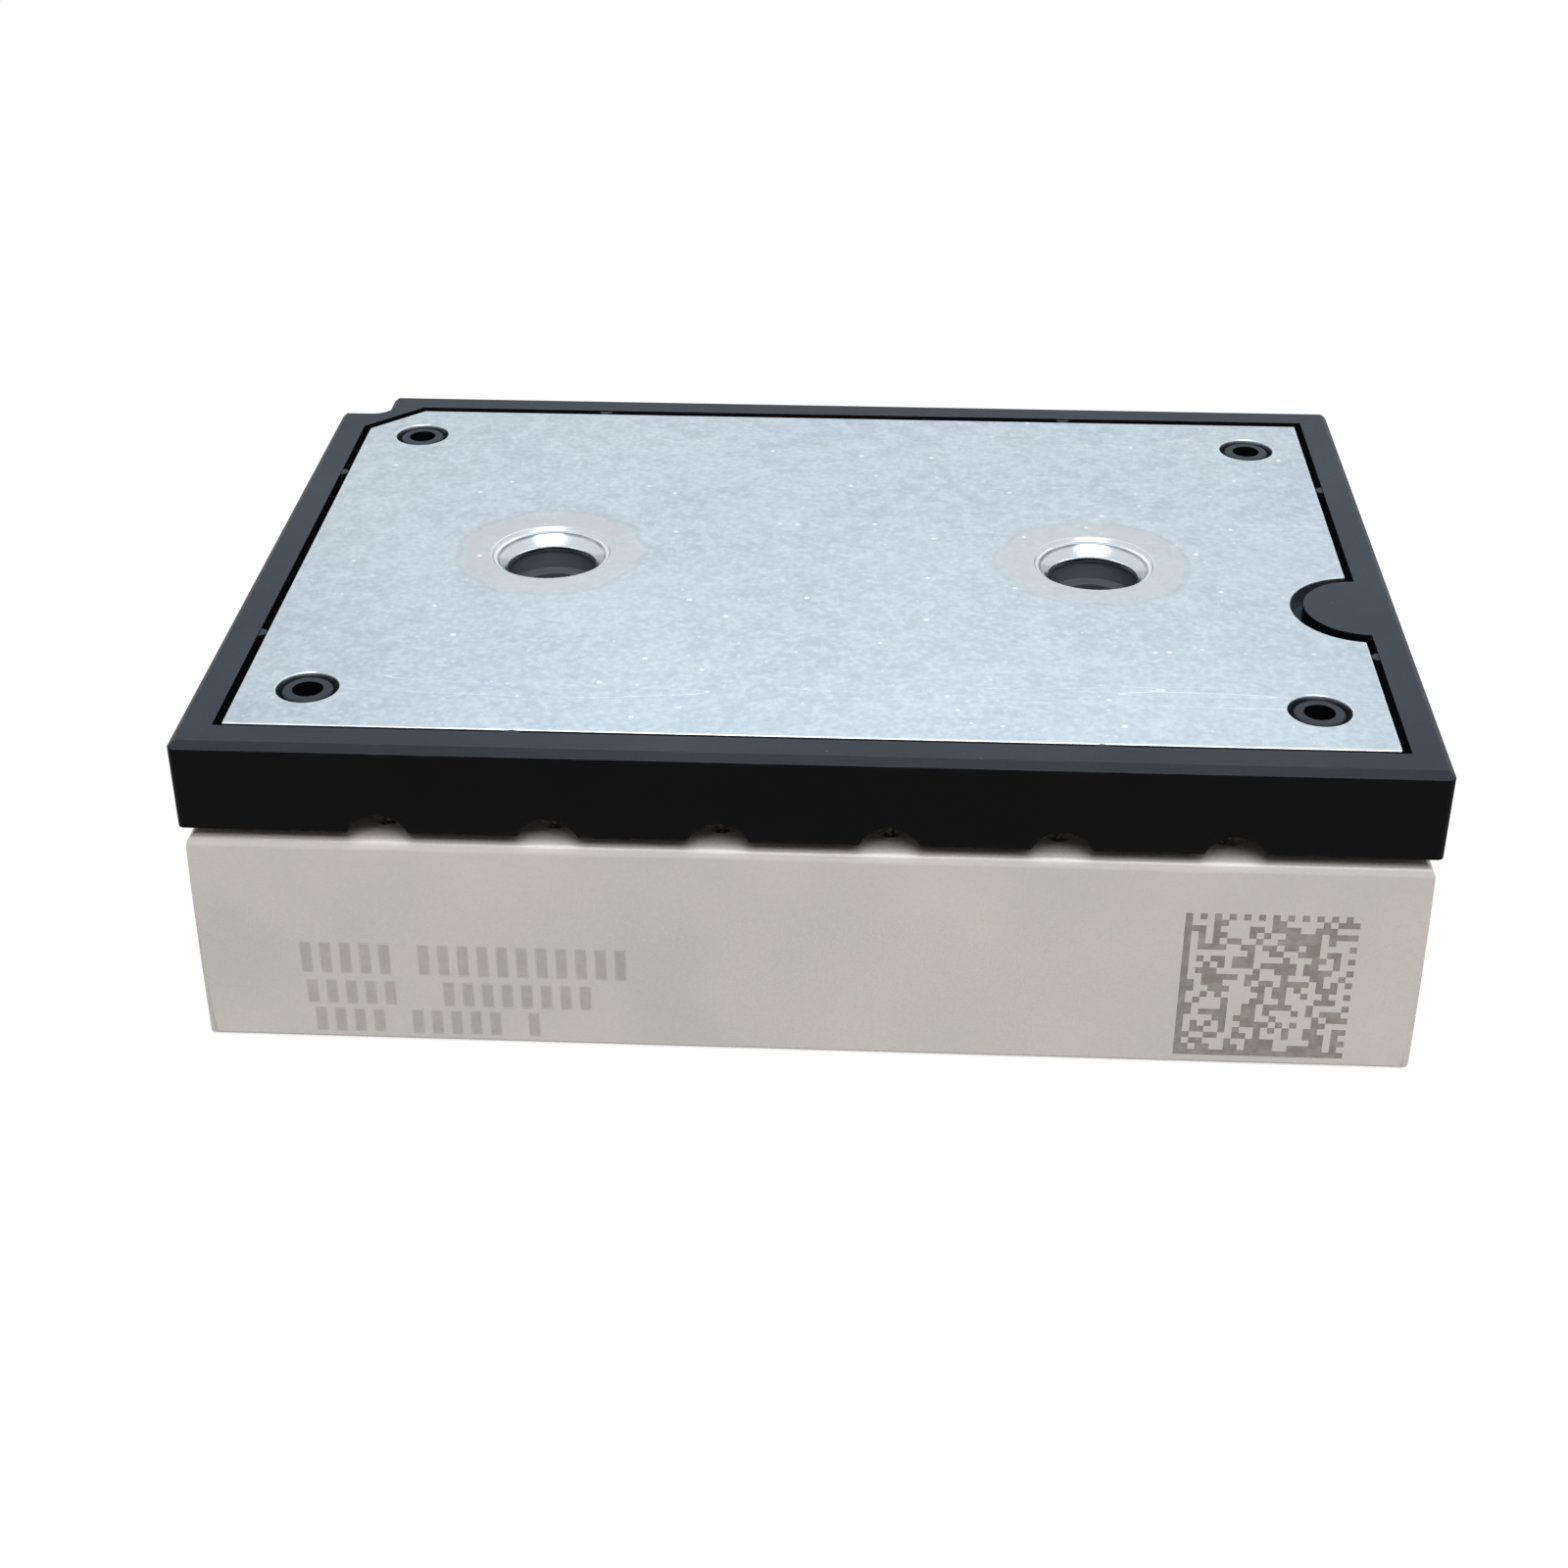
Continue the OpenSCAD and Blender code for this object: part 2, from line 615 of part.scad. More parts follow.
module bond_loop(x, y0, y1) {
    loop_place(x, y0, y1) rotate_extrude() translate([loop_r(y0, y1), 0]) circle(d = bond_d);
}

// the high side bonds inwards to its phase, the low side outwards to the minus bus
function bond_y(s) = s == 0 ? chip_row_y - bond_reach : chip_row_y + bond_reach;

function igbt_bond_x(i) = -column_pitch / 2 + i * igbt_bond_pitch - igbt_bond_shift;

function diode_bond_x(i) = column_pitch / 2 + i * diode_bond_pitch / 2;

// the gate bond's place along the row, its foot on the chip and its foot on the gate pad
function gate_bond() = [igbt_a / 2 - gate_bond_inset - column_pitch / 2,
    chip_row_y + igbt_a / 2 - gate_bond_inset, copper_w / 2 - gate_pad_w + gate_bond_inset];

module bond_wires(p, s) color("silver") switch_frame(p, s) {
    gate = gate_bond();
    difference() {
        intersection() {
            union() {
                for (i = [-1:1]) bond_loop(igbt_bond_x(i), chip_row_y, bond_y(s));
                for (i = [-1, 1]) bond_loop(diode_bond_x(i), chip_row_y, bond_y(s));
                bond_loop(gate.x, gate.y, gate.z);
            }
            pad(-column_pitch, column_pitch, 0, body_w, circuit_z, gel_z);
        }
        chip_at(-column_pitch / 2, igbt_a);
        chip_at(column_pitch / 2, diode_a);
    }
}

// the room that a row of loops takes in the gel
module loop_room(x0, x1, y0, y1) {
    play = bond_d / 2 + bond_play;
    length = x1 - x0 + 2 * play;
    loop_place((x0 + x1) / 2, y0, y1) difference() {
        cylinder(r = loop_r(y0, y1) + play, h = length, center = true);
        cylinder(r = loop_r(y0, y1) - play, h = length + past, center = true);
    }
}

module switch_room(s) {
    gate = gate_bond();
    loop_room(igbt_bond_x(-1), igbt_bond_x(1), chip_row_y, bond_y(s));
    loop_room(diode_bond_x(-1), diode_bond_x(1), chip_row_y, bond_y(s));
    loop_room(gate.x, gate.x, gate.y, gate.z);
    chip_at(-column_pitch / 2, igbt_a);
    chip_at(column_pitch / 2, diode_a);
}

module silicone_gel() color("#b9c9cf", 0.6) difference() {
    block(cavity_l, cavity_w, circuit_z, gel_z);
    for (p = [0:2]) for (s = [0, 1]) switch_frame(p, s) switch_room(s);
    for (s = SPRINGS) post(s[1], s[2], shaft_d, 0, gel_z + past);
    for (x = SCREWS) post(x, 0, boss_d, 0, gel_z + past);
    press_feet(gel_z + past);
    temperature_sensor();
}

// ---- contact springs ----

// The wire is a chain of arcs and straights. Every other piece is a hair thinner and runs a little way
// into its neighbours, so that they join cleanly.
function thin(i) = i % 2 == 0 ? 0 : 1;

function gauge(i) = wire_d - 2 * hair * thin(i);

module bent_wire(r, turn, i) {
    rotate([0, 0, -run_in * thin(i)]) rotate_extrude(angle = turn + 2 * run_in * thin(i))
        translate([r, 0]) circle(d = gauge(i));
}

// half a turn, rising a quarter pitch to each side of its middle; odd halves lean the other way
module half_turn(k) {
    translate([0, 0, (2 * k + 1) * quarter_rise]) rotate([0, (2 * thin(k) - 1) * coil_tilt, 0])
        rotate([0, 0, 180 * (1 - thin(k))]) bent_wire(coil_r / cos(coil_tilt), 180, k);
}

// the coil's last arc in to the axis, a bend up along it, a straight end and its domed tip
module lead(length, i) {
    end_x = coil_r - lead_r + lead_r * cos(lead_turn);
    translate([coil_r - lead_r, 0, 0]) bent_wire(lead_r, lead_turn, i);
    translate([end_x, lead_r * sin(lead_turn), bend_r])
        rotate([90, 0, lead_turn + 90]) rotate([0, 0, -90]) bent_wire(bend_r, 90, i + 1);
    translate([0, 0, bend_r - hair]) cylinder(d = gauge(i + 2), h = length + hair);
    translate([0, 0, bend_r + length]) sphere(d = gauge(i + 3));
}

module contact_spring(x, y) color("#d9d6cc") translate([x, y, coil_z]) {
    half_turns = 2 * coil_turns;
    for (k = [0:half_turns - 1]) half_turn(k);
    translate([0, 0, 2 * half_turns * quarter_rise]) rotate([0, 0, 180]) lead(spring_head_l, half_turns);
    rotate([180, 0, 180]) lead(spring_foot_l, -1);
}

pressure_lid();
pressure_plate();
spring_housing();
ceramic_substrate();
heat_sink_copper();
substrate_adhesive();
silicone_gel();
copper_dc_plus();
copper_dc_minus();
copper_gate_pads();
copper_sensor_pads();
temperature_sensor();
for (p = [0:2]) {
    copper_phase(p);
    for (s = [0, 1]) {
        igbt(p, s);
        diode(p, s);
        bond_wires(p, s);
    }
}
for (s = SPRINGS) {
    contact_spring(s[1], s[2]);
}
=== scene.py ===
"""Looks of the power module: moulded lid, zinc-plated pressure plate, marked housing, the springs
between them and the copper-clad substrate below. Everything is in metres, in the frame of the
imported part."""

import math

import bmesh
import bpy
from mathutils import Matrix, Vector


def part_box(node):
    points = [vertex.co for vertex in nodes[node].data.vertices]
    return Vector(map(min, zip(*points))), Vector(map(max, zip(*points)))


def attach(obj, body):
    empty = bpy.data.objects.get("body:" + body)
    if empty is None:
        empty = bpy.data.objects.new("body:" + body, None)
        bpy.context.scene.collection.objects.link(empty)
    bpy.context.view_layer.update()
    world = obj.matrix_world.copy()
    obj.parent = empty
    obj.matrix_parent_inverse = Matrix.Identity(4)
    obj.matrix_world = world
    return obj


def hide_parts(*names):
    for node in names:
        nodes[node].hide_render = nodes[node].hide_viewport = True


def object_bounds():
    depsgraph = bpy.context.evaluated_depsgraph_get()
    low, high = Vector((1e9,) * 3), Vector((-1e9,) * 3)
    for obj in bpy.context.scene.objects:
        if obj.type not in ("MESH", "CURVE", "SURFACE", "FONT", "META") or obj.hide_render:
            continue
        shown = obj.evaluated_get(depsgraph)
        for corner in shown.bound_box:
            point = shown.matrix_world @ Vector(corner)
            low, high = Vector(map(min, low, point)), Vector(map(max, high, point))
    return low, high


MM = 0.001

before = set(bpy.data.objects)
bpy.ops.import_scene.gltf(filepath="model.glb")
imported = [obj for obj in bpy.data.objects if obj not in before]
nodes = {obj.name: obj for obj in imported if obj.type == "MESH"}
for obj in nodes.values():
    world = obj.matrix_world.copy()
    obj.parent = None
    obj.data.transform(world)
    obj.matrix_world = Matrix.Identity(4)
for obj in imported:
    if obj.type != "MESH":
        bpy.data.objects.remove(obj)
cad_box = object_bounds()
scene = bpy.context.scene


# ---- places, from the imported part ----

SPRINGS = sorted(n for n in nodes if n.startswith("spring_") and n != "spring_housing")
housing_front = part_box("spring_housing")[0].y
sensor_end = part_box("temperature_sensor")[1].y


# ---- sizes, in millimetres unless a comment says otherwise ----

# the finish round the screw holes; a pair of radii is where a soft edge ends and where it begins
SCREW_X = 20.0                      # from the middle to each screw hole
# the bore walls carry a painted reflection, grey at the top and fading to dark below
BORE_WALL = 3.65, 3.55              # the wall of a screw bore in the lid
BORE_DARK, BORE_PALE = 19.4, 20.3   # the heights between which that wall turns from dark to grey
PRESSED_RING = 7.7, 6.1             # the ring that a screw head has pressed
PRESSED_LINE = 7.0                  # the thin outline of that ring
PRESSED_WANDER = 0.5                # how far its edge wanders in and out
COINED_RING = 4.5, 4.35             # the bright ring coined round a hole
# the groove inside the coined ring is painted dark: a painted shade in the recess
COINED_GROOVE = 3.85, 4.02          # the groove inside it, from one radius to the other

# the square code on the housing's front, from the middle and from the foot
CODE_LEFT, CODE_LOW, CODE_SIZE = 25.0, 0.8, 11.35
CODE_CELLS = 24
CODE_SEED = 5.0
CODE_DARK = 0.9                     # how dark its cells are, as a share
# the rows of blocks beside it: the left end, the foot and the height of a row, and then its words.
# A word is the place of its first block, and how many blocks it has
MARK_ROWS = ((-34.0, 5.5, 2.4, ((0, 5), (6, 11))), (-33.8, 3.0, 1.9, ((0, 5), (7, 8))),
             (-33.4, 0.7, 1.9, ((0, 4), (5, 5), (11, 1))))
BLOCK_PITCH, BLOCK_SHARE = 1.33, 0.62
BLOCK_DARK = 0.42
FRONT_DEPTH = 0.6                   # how far the marked face leans back, with room

# small things inside
CHIP_CELL = 0.9                     # the width of a cell on a chip
TIN_CAP, TIN_SOFT = 0.55, 0.04      # the tinned ends of the thermistor, and their soft edge

# the wire of a contact spring
SPRING_FOOT = 2.9                   # the straight foot, with the run-in to the coil
SPRING_BEND = 0.45                  # the height of that run-in
SPRING_PITCH, SPRING_TURNS = 1.35, 6.0
SPRING_R, WIRE_R = 0.9, 0.25        # the coil, to the middle of the wire, and the wire
WIRE_STEPS, WIRE_SIDES = 280, 10

# the edges that moulding and blanking leave, with the number of steps round each
LID_EDGE, PLATE_EDGE, HOUSING_EDGE = (0.09, 2), (0.1, 2), (0.06, 1)
MERGED_WITHIN = 0.0005              # corners this near to each other are one
# angles between faces, in degrees: up to the first they are one face, from the second their edge is
# rounded, and from the third it is shaded sharp
FLAT_TO, ROUNDED_FROM, SHARP_FROM = 0.4, 35, 38

# the studio
FLOOR_HALF = 2000                   # from the middle of the floor to each side
FLOOR_DROP = 0.02                   # how far the floor stays below the part
CAMERA_PLACE = 5.529, -160.973, 100.647
CAMERA_TURN = 58.9326, 0.0863, 2.9014   # in degrees
CAMERA_LENS, CAMERA_SENSOR = 55.4056, 36.0
CAMERA_NEAR, CAMERA_FAR = 10, 10000
ROOM_LEVEL, WHITE_LEVEL = 0.34, 1.0     # the brightness of the room on the part, and to the eye
PAPER_LIFT = 0.74                       # what makes the lit paper white to the eye
LIGHTS_AIM = Vector((0, 0, 10))


# ---- node trees ----

def linear(colour):
    """An sRGB hex colour as the linear values that a socket holds."""
    parts = [int(colour[i:i + 2], 16) / 255 for i in (1, 3, 5)]
    return (*[c / 12.92 if c <= 0.04045 else ((c + 0.055) / 1.055) ** 2.4 for c in parts], 1.0)


def add(tree, kind, inputs=(), **settings):
    """Adds a node with its settings. Inputs go to its live sockets, by name or in order: each is a
    value, a socket, or another node, which stands for its first live output. Map Range in order
    takes the value, the two ends that it comes from, and the two ends that it goes to."""
    made = tree.nodes.new(kind)
    for name, value in settings.items():
        setattr(made, name, value)
    live = [s for s in made.inputs if s.enabled]
    for key, value in inputs.items() if isinstance(inputs, dict) else enumerate(inputs):
        socket = live[key] if isinstance(key, int) else next(s for s in live if s.name == key)
        if isinstance(value, bpy.types.Node):
            value = next(s for s in value.outputs if s.enabled)
        if isinstance(value, bpy.types.NodeSocket):
            tree.links.new(value, socket)
        else:
            socket.default_value = value
    return made


def per_mm(size):
    """The scale of a pattern whose features are this many millimetres across."""
    return 1 / (size * MM)


def new_material(name):
    """An empty material, its tree and the object's own coordinates, in metres."""
    made = bpy.data.materials.new(name)
    made.use_nodes = True
    made.node_tree.nodes.clear()
    return made, made.node_tree, add(made.node_tree, "ShaderNodeTexCoord").outputs["Object"]


def strip(tree, value, low, high, soft):
    """1 where the value lies between two lengths in millimetres, with soft ends."""
    up = add(tree, "ShaderNodeMapRange", [value, (low - soft) * MM, (low + soft) * MM])
    down = add(tree, "ShaderNodeMapRange", [value, (high + soft) * MM, (high - soft) * MM])
    return add(tree, "ShaderNodeMath", [up, down], operation="MULTIPLY")


def cell_of(tree, value, low, pitch):
    """How many cells of the pitch a length lies past its start."""
    past = add(tree, "ShaderNodeMath", [value, low * MM], operation="SUBTRACT")
    return add(tree, "ShaderNodeMath", [past, pitch * MM], operation="DIVIDE")


def edge_share(tree, radius):
    """1 on sharp outer edges, 0 on open faces: how far the rounded normal leaves the true one."""
    rounded = add(tree, "ShaderNodeBevel", {"Radius": radius * MM}, samples=4)
    true = add(tree, "ShaderNodeNewGeometry").outputs["Normal"]
    same = add(tree, "ShaderNodeVectorMath", [rounded, true], operation="DOT_PRODUCT")
    return add(tree, "ShaderNodeMapRange", [same, 0.995, 0.93])


def screw_distance(tree, where):
    """How far a point is from the axis of the nearer screw hole."""
    place = add(tree, "ShaderNodeSeparateXYZ", [where])
    across = add(tree, "ShaderNodeMath", [place.outputs["X"]], operation="ABSOLUTE")
    across = add(tree, "ShaderNodeMath", [across, SCREW_X * MM], operation="SUBTRACT")
    offset = add(tree, "ShaderNodeCombineXYZ", [across, place.outputs["Y"], 0.0])
    return add(tree, "ShaderNodeVectorMath", [offset], operation="LENGTH")


def sparse_dots(tree, where, spacing, size, share, shift=0.0):
    """Small round dots, one at most in each cell of the spacing, in only a share of the cells."""
    moved = add(tree, "ShaderNodeMapping",
                {"Vector": where, "Location": (shift * MM, shift * MM, 0)})
    cells = add(tree, "ShaderNodeTexVoronoi", {"Vector": moved, "Scale": per_mm(spacing)})
    chance = add(tree, "ShaderNodeSeparateColor", [cells.outputs["Color"]]).outputs["Green"]
    dot = add(tree, "ShaderNodeMapRange",
              [cells.outputs["Distance"], size / spacing, 0.4 * size / spacing])
    chosen = add(tree, "ShaderNodeMath", [chance, 1 - share], operation="GREATER_THAN")
    return add(tree, "ShaderNodeMath", [dot, chosen], operation="MULTIPLY")


# the directions of the scratches: a turn in radians, and a shift in millimetres
SCRATCH_WAYS = (0.12, 0.0), (-0.75, 11.0), (1.3, 23.0)


def scratches(tree, where):
    """Hair-fine marks in three directions: contours of drawn-out noise, kept in a few patches."""
    total = 0.0
    for turn, shift in SCRATCH_WAYS:
        moved = add(tree, "ShaderNodeMapping", {
            "Vector": where, "Location": (shift * MM, 0, 0), "Rotation": (0, 0, turn),
            "Scale": (0.06, 1, 1)})
        drawn = add(tree, "ShaderNodeTexNoise",
                    {"Vector": moved, "Scale": per_mm(1.6), "Detail": 0.5})
        gap = add(tree, "ShaderNodeMath", [drawn, 0.5, 0.004], operation="COMPARE")
        patches = add(tree, "ShaderNodeTexNoise",
                      {"Vector": moved, "Scale": per_mm(5), "Detail": 1.0})
        kept = add(tree, "ShaderNodeMapRange", [patches, 0.62, 0.68])
        line = add(tree, "ShaderNodeMath", [gap, kept], operation="MULTIPLY")
        total = add(tree, "ShaderNodeMath", [total, line], operation="MAXIMUM")
    return total


# Glass-filled polyester, injection moulded in a spark-eroded mould: dull black with an even fine
# grain and a faint clouding from the fibres. Faces that look up are painted a lighter grey, a thin
# dust film with a painted sheen in it, and edges are a little rubbed. The grain is drawn coarser
# than the mould leaves it, so that it shows.
def glass_filled_polyester():
    made, tree, where = new_material("glass_filled_polyester_moulded")
    clouds = add(tree, "ShaderNodeTexNoise", {"Vector": where, "Scale": per_mm(7), "Detail": 3.0})
    grain = add(tree, "ShaderNodeTexNoise", {"Vector": where, "Scale": per_mm(0.3), "Detail": 3.0})
    # a painted sheen over a thin dust film: the more a face looks up, the lighter grey it is
    # painted
    upward = add(tree, "ShaderNodeNewGeometry").outputs["Normal"]
    upward = add(tree, "ShaderNodeSeparateXYZ", [upward]).outputs["Z"]
    upward = add(tree, "ShaderNodeMapRange", [upward, 0.3, 0.95], interpolation_type="SMOOTHSTEP")
    uneven = add(tree, "ShaderNodeMapRange", [clouds, 0.25, 0.75, 0.86, 1.0])
    dust_and_painted_sheen = add(tree, "ShaderNodeMath", [upward, uneven], operation="MULTIPLY")
    colour = add(tree, "ShaderNodeMix", [clouds, linear("#080809"), linear("#0b0b0c")],
                 data_type="RGBA")
    drift = add(tree, "ShaderNodeTexNoise", {"Vector": where, "Scale": per_mm(30), "Detail": 2.0})
    drift = add(tree, "ShaderNodeMapRange", [drift, 0.35, 0.65])
    dust_and_sheen_colour = add(tree, "ShaderNodeMix", [drift, linear("#3d454d"), linear("#393e45")],
                      data_type="RGBA")
    colour = add(tree, "ShaderNodeMix", [dust_and_painted_sheen, colour, dust_and_sheen_colour], data_type="RGBA")

    # a painted reflection: the walls of the screw bores are painted grey, lighter towards the top,
    # where light falls in through the holes
    outer, inner = BORE_WALL
    painted_bore_reflection = screw_distance(tree, where)
    painted_bore_reflection = add(tree, "ShaderNodeMapRange", [painted_bore_reflection, outer * MM, inner * MM, 0.0, 0.8])
    upper = add(tree, "ShaderNodeSeparateXYZ", [where]).outputs["Z"]
    upper = add(tree, "ShaderNodeMapRange", [upper, BORE_DARK * MM, BORE_PALE * MM])
    painted_bore_reflection = add(tree, "ShaderNodeMath", [painted_bore_reflection, upper], operation="MULTIPLY")
    colour = add(tree, "ShaderNodeMix", [painted_bore_reflection, colour, linear("#5c6068")], data_type="RGBA")

    # the grain shows as lighter flecks only within the dust film and painted sheen
    fibres = add(tree, "ShaderNodeMapRange", [grain, 0.55, 0.8, 0.0, 0.1])
    fibres = add(tree, "ShaderNodeMath", [fibres, dust_and_painted_sheen], operation="MULTIPLY")
    colour = add(tree, "ShaderNodeMix", [fibres, colour, linear("#6a6f76")], data_type="RGBA")
    dust = sparse_dots(tree, where, 1.9, 0.12, 0.35)
    dust = add(tree, "ShaderNodeMath", [dust, dust_and_painted_sheen], operation="MULTIPLY")
    dust = add(tree, "ShaderNodeMath", [dust, 0.25], operation="MULTIPLY")
    colour = add(tree, "ShaderNodeMix", [dust, colour, linear("#8a8f96")], data_type="RGBA")
    patches = add(tree, "ShaderNodeTexNoise",
                  {"Vector": where, "Scale": per_mm(1.4), "Detail": 4.0})
    patches = add(tree, "ShaderNodeMapRange", [patches, 0.46, 0.7, 0.0, 0.3])
    rubbed = add(tree, "ShaderNodeMath", [edge_share(tree, 0.2), patches], operation="MULTIPLY")
    colour = add(tree, "ShaderNodeMix", [rubbed, colour, linear("#585450")], data_type="RGBA")

    bump = add(tree, "ShaderNodeBump", {"Strength": 0.15, "Distance": 0.012 * MM, "Height": grain})
    rough = add(tree, "ShaderNodeMapRange", [grain, 0.3, 0.7, 0.42, 0.52])
    shader = add(tree, "ShaderNodeBsdfPrincipled", {
        "Base Color": colour, "IOR": 1.55, "Specular IOR Level": 0.04, "Roughness": rough,
        "Normal": bump})
    add(tree, "ShaderNodeOutputMaterial", {"Surface": shader})
    return made


# Sheet steel, zinc-plated and blue-passivated: a cool mottled grey with fine crystals, bright
# grains, dark pores, handling scratches, and a warmer ring where each screw head has pressed. The
# crystals are drawn at half a millimetre, coarser than they are, so that they show.
def zinc_plated_steel():
    made, tree, where = new_material("steel_sheet_zinc_plated")
    clouds = add(tree, "ShaderNodeTexNoise", {"Vector": where, "Scale": per_mm(9), "Detail": 4.0})
    mottle = add(tree, "ShaderNodeTexNoise", {"Vector": where, "Scale": per_mm(1.8), "Detail": 3.0})
    speckle = add(tree, "ShaderNodeTexNoise",
                  {"Vector": where, "Scale": per_mm(0.45), "Detail": 2.0})
    crystals = add(tree, "ShaderNodeTexVoronoi", {"Vector": where, "Scale": per_mm(0.5)})
    crystal = add(tree, "ShaderNodeSeparateColor", [crystals.outputs["Color"]])
    share = add(tree, "ShaderNodeMapRange", [clouds, 0.3, 0.7])
    colour = add(tree, "ShaderNodeMix", [share, linear("#a1afb9"), linear("#acb9c1")],
                 data_type="RGBA")
    share = add(tree, "ShaderNodeMapRange", [mottle, 0.35, 0.65, 0.0, 0.6])
    colour = add(tree, "ShaderNodeMix", [share, colour, linear("#b4c1c9")], data_type="RGBA")
    share = add(tree, "ShaderNodeMapRange", [speckle, 0.5, 0.75, 0.0, 0.45])
    colour = add(tree, "ShaderNodeMix", [share, colour, linear("#c3d0d7")], data_type="RGBA")
    share = add(tree, "ShaderNodeMapRange", [speckle, 0.5, 0.25, 0.0, 0.3])
    colour = add(tree, "ShaderNodeMix", [share, colour, linear("#8f9ca6")], data_type="RGBA")

    # the ring where a screw head has pressed, with a wandering edge and a thin darker outline
    radius = screw_distance(tree, where)
    wander = add(tree, "ShaderNodeTexNoise", {"Vector": where, "Scale": per_mm(3), "Detail": 3.0})
    reach = PRESSED_WANDER * MM
    wander = add(tree, "ShaderNodeMapRange", [wander, 0.25, 0.75, -reach, reach])
    far = add(tree, "ShaderNodeMath", [radius, wander], operation="ADD")
    outer, inner = PRESSED_RING
    pressed = add(tree, "ShaderNodeMapRange", [far, outer * MM, inner * MM],
                  interpolation_type="SMOOTHSTEP")
    patches = add(tree, "ShaderNodeTexNoise",
                  {"Vector": where, "Scale": per_mm(2.2), "Detail": 3.0})
    patches = add(tree, "ShaderNodeMapRange", [patches, 0.3, 0.7, 0.35, 0.95])
    share = add(tree, "ShaderNodeMath", [pressed, patches], operation="MULTIPLY")
    colour = add(tree, "ShaderNodeMix", [share, colour, linear("#b1b2b4")], data_type="RGBA")
    outline = add(tree, "ShaderNodeMath", [far, PRESSED_LINE * MM], operation="SUBTRACT")
    outline = add(tree, "ShaderNodeMath", [outline], operation="ABSOLUTE")
    outline = add(tree, "ShaderNodeMapRange", [outline, 0.3 * MM, 0.05 * MM, 0.0, 0.3])
    outline = add(tree, "ShaderNodeMath", [outline, patches], operation="MULTIPLY")
    colour = add(tree, "ShaderNodeMix", [outline, colour, linear("#8b9094")], data_type="RGBA")

    # bright grains large and small, dark pores, scratches, the clean metal of the coined ring, a
    # painted shade in the groove inside it, and a painted highlight on the edges
    grains = sparse_dots(tree, where, 2.2, 0.24, 0.5)
    fine = sparse_dots(tree, where, 0.9, 0.13, 0.3, 3.0)
    fine = add(tree, "ShaderNodeMath", [fine, 0.4], operation="MULTIPLY")
    grains = add(tree, "ShaderNodeMath", [grains, fine], operation="MAXIMUM")
    share = add(tree, "ShaderNodeMath", [grains, 0.85], operation="MULTIPLY")
    colour = add(tree, "ShaderNodeMix", [share, colour, linear("#eef4f8")], data_type="RGBA")
    pores = sparse_dots(tree, where, 3.1, 0.16, 0.4, 7.0)
    share = add(tree, "ShaderNodeMath", [pores, 0.4], operation="MULTIPLY")
    colour = add(tree, "ShaderNodeMix", [share, colour, linear("#7c868e")], data_type="RGBA")
    scratch = scratches(tree, where)
    share = add(tree, "ShaderNodeMath", [scratch, 0.35], operation="MULTIPLY")
    colour = add(tree, "ShaderNodeMix", [share, colour, linear("#e6eef3")], data_type="RGBA")
    outer, inner = COINED_RING
    coined = add(tree, "ShaderNodeMapRange", [radius, outer * MM, inner * MM])
    colour = add(tree, "ShaderNodeMix", [coined, colour, linear("#ccd3d8")], data_type="RGBA")
    # a painted shade: the groove inside the coined ring is painted dark, unevenly
    painted_groove_shade = strip(tree, radius, *COINED_GROOVE, 0.06)
    painted_groove_shade = add(tree, "ShaderNodeMath", [painted_groove_shade, patches], operation="MULTIPLY")
    colour = add(tree, "ShaderNodeMix", [painted_groove_shade, colour, linear("#4d565d")], data_type="RGBA")
    # the sharp edges are painted near white: a painted highlight along them, over a little rubbed
    # metal
    worn = add(tree, "ShaderNodeMath", [edge_share(tree, 0.2), 0.6], operation="MULTIPLY")
    colour = add(tree, "ShaderNodeMix", [worn, colour, linear("#e8eef1")], data_type="RGBA")

    rough = add(tree, "ShaderNodeMapRange", [mottle, 0.3, 0.7, 0.30, 0.37])
    bright = add(tree, "ShaderNodeMath", [grains, scratch], operation="MAXIMUM")
    smoother = add(tree, "ShaderNodeMath", [bright, coined], operation="MAXIMUM")
    smoother = add(tree, "ShaderNodeMath", [smoother, 0.12], operation="MULTIPLY")
    rough = add(tree, "ShaderNodeMath", [rough, smoother], operation="SUBTRACT")
    height = add(tree, "ShaderNodeMath", [crystal, speckle], operation="ADD")
    height = add(tree, "ShaderNodeMath", [height, pores], operation="SUBTRACT")
    bump = add(tree, "ShaderNodeBump", {"Strength": 0.25, "Distance": 0.006 * MM, "Height": height})
    shader = add(tree, "ShaderNodeBsdfPrincipled", {
        "Base Color": colour, "Metallic": 1.0, "Roughness": rough, "Normal": bump})
    add(tree, "ShaderNodeOutputMaterial", {"Surface": shader})
    return made


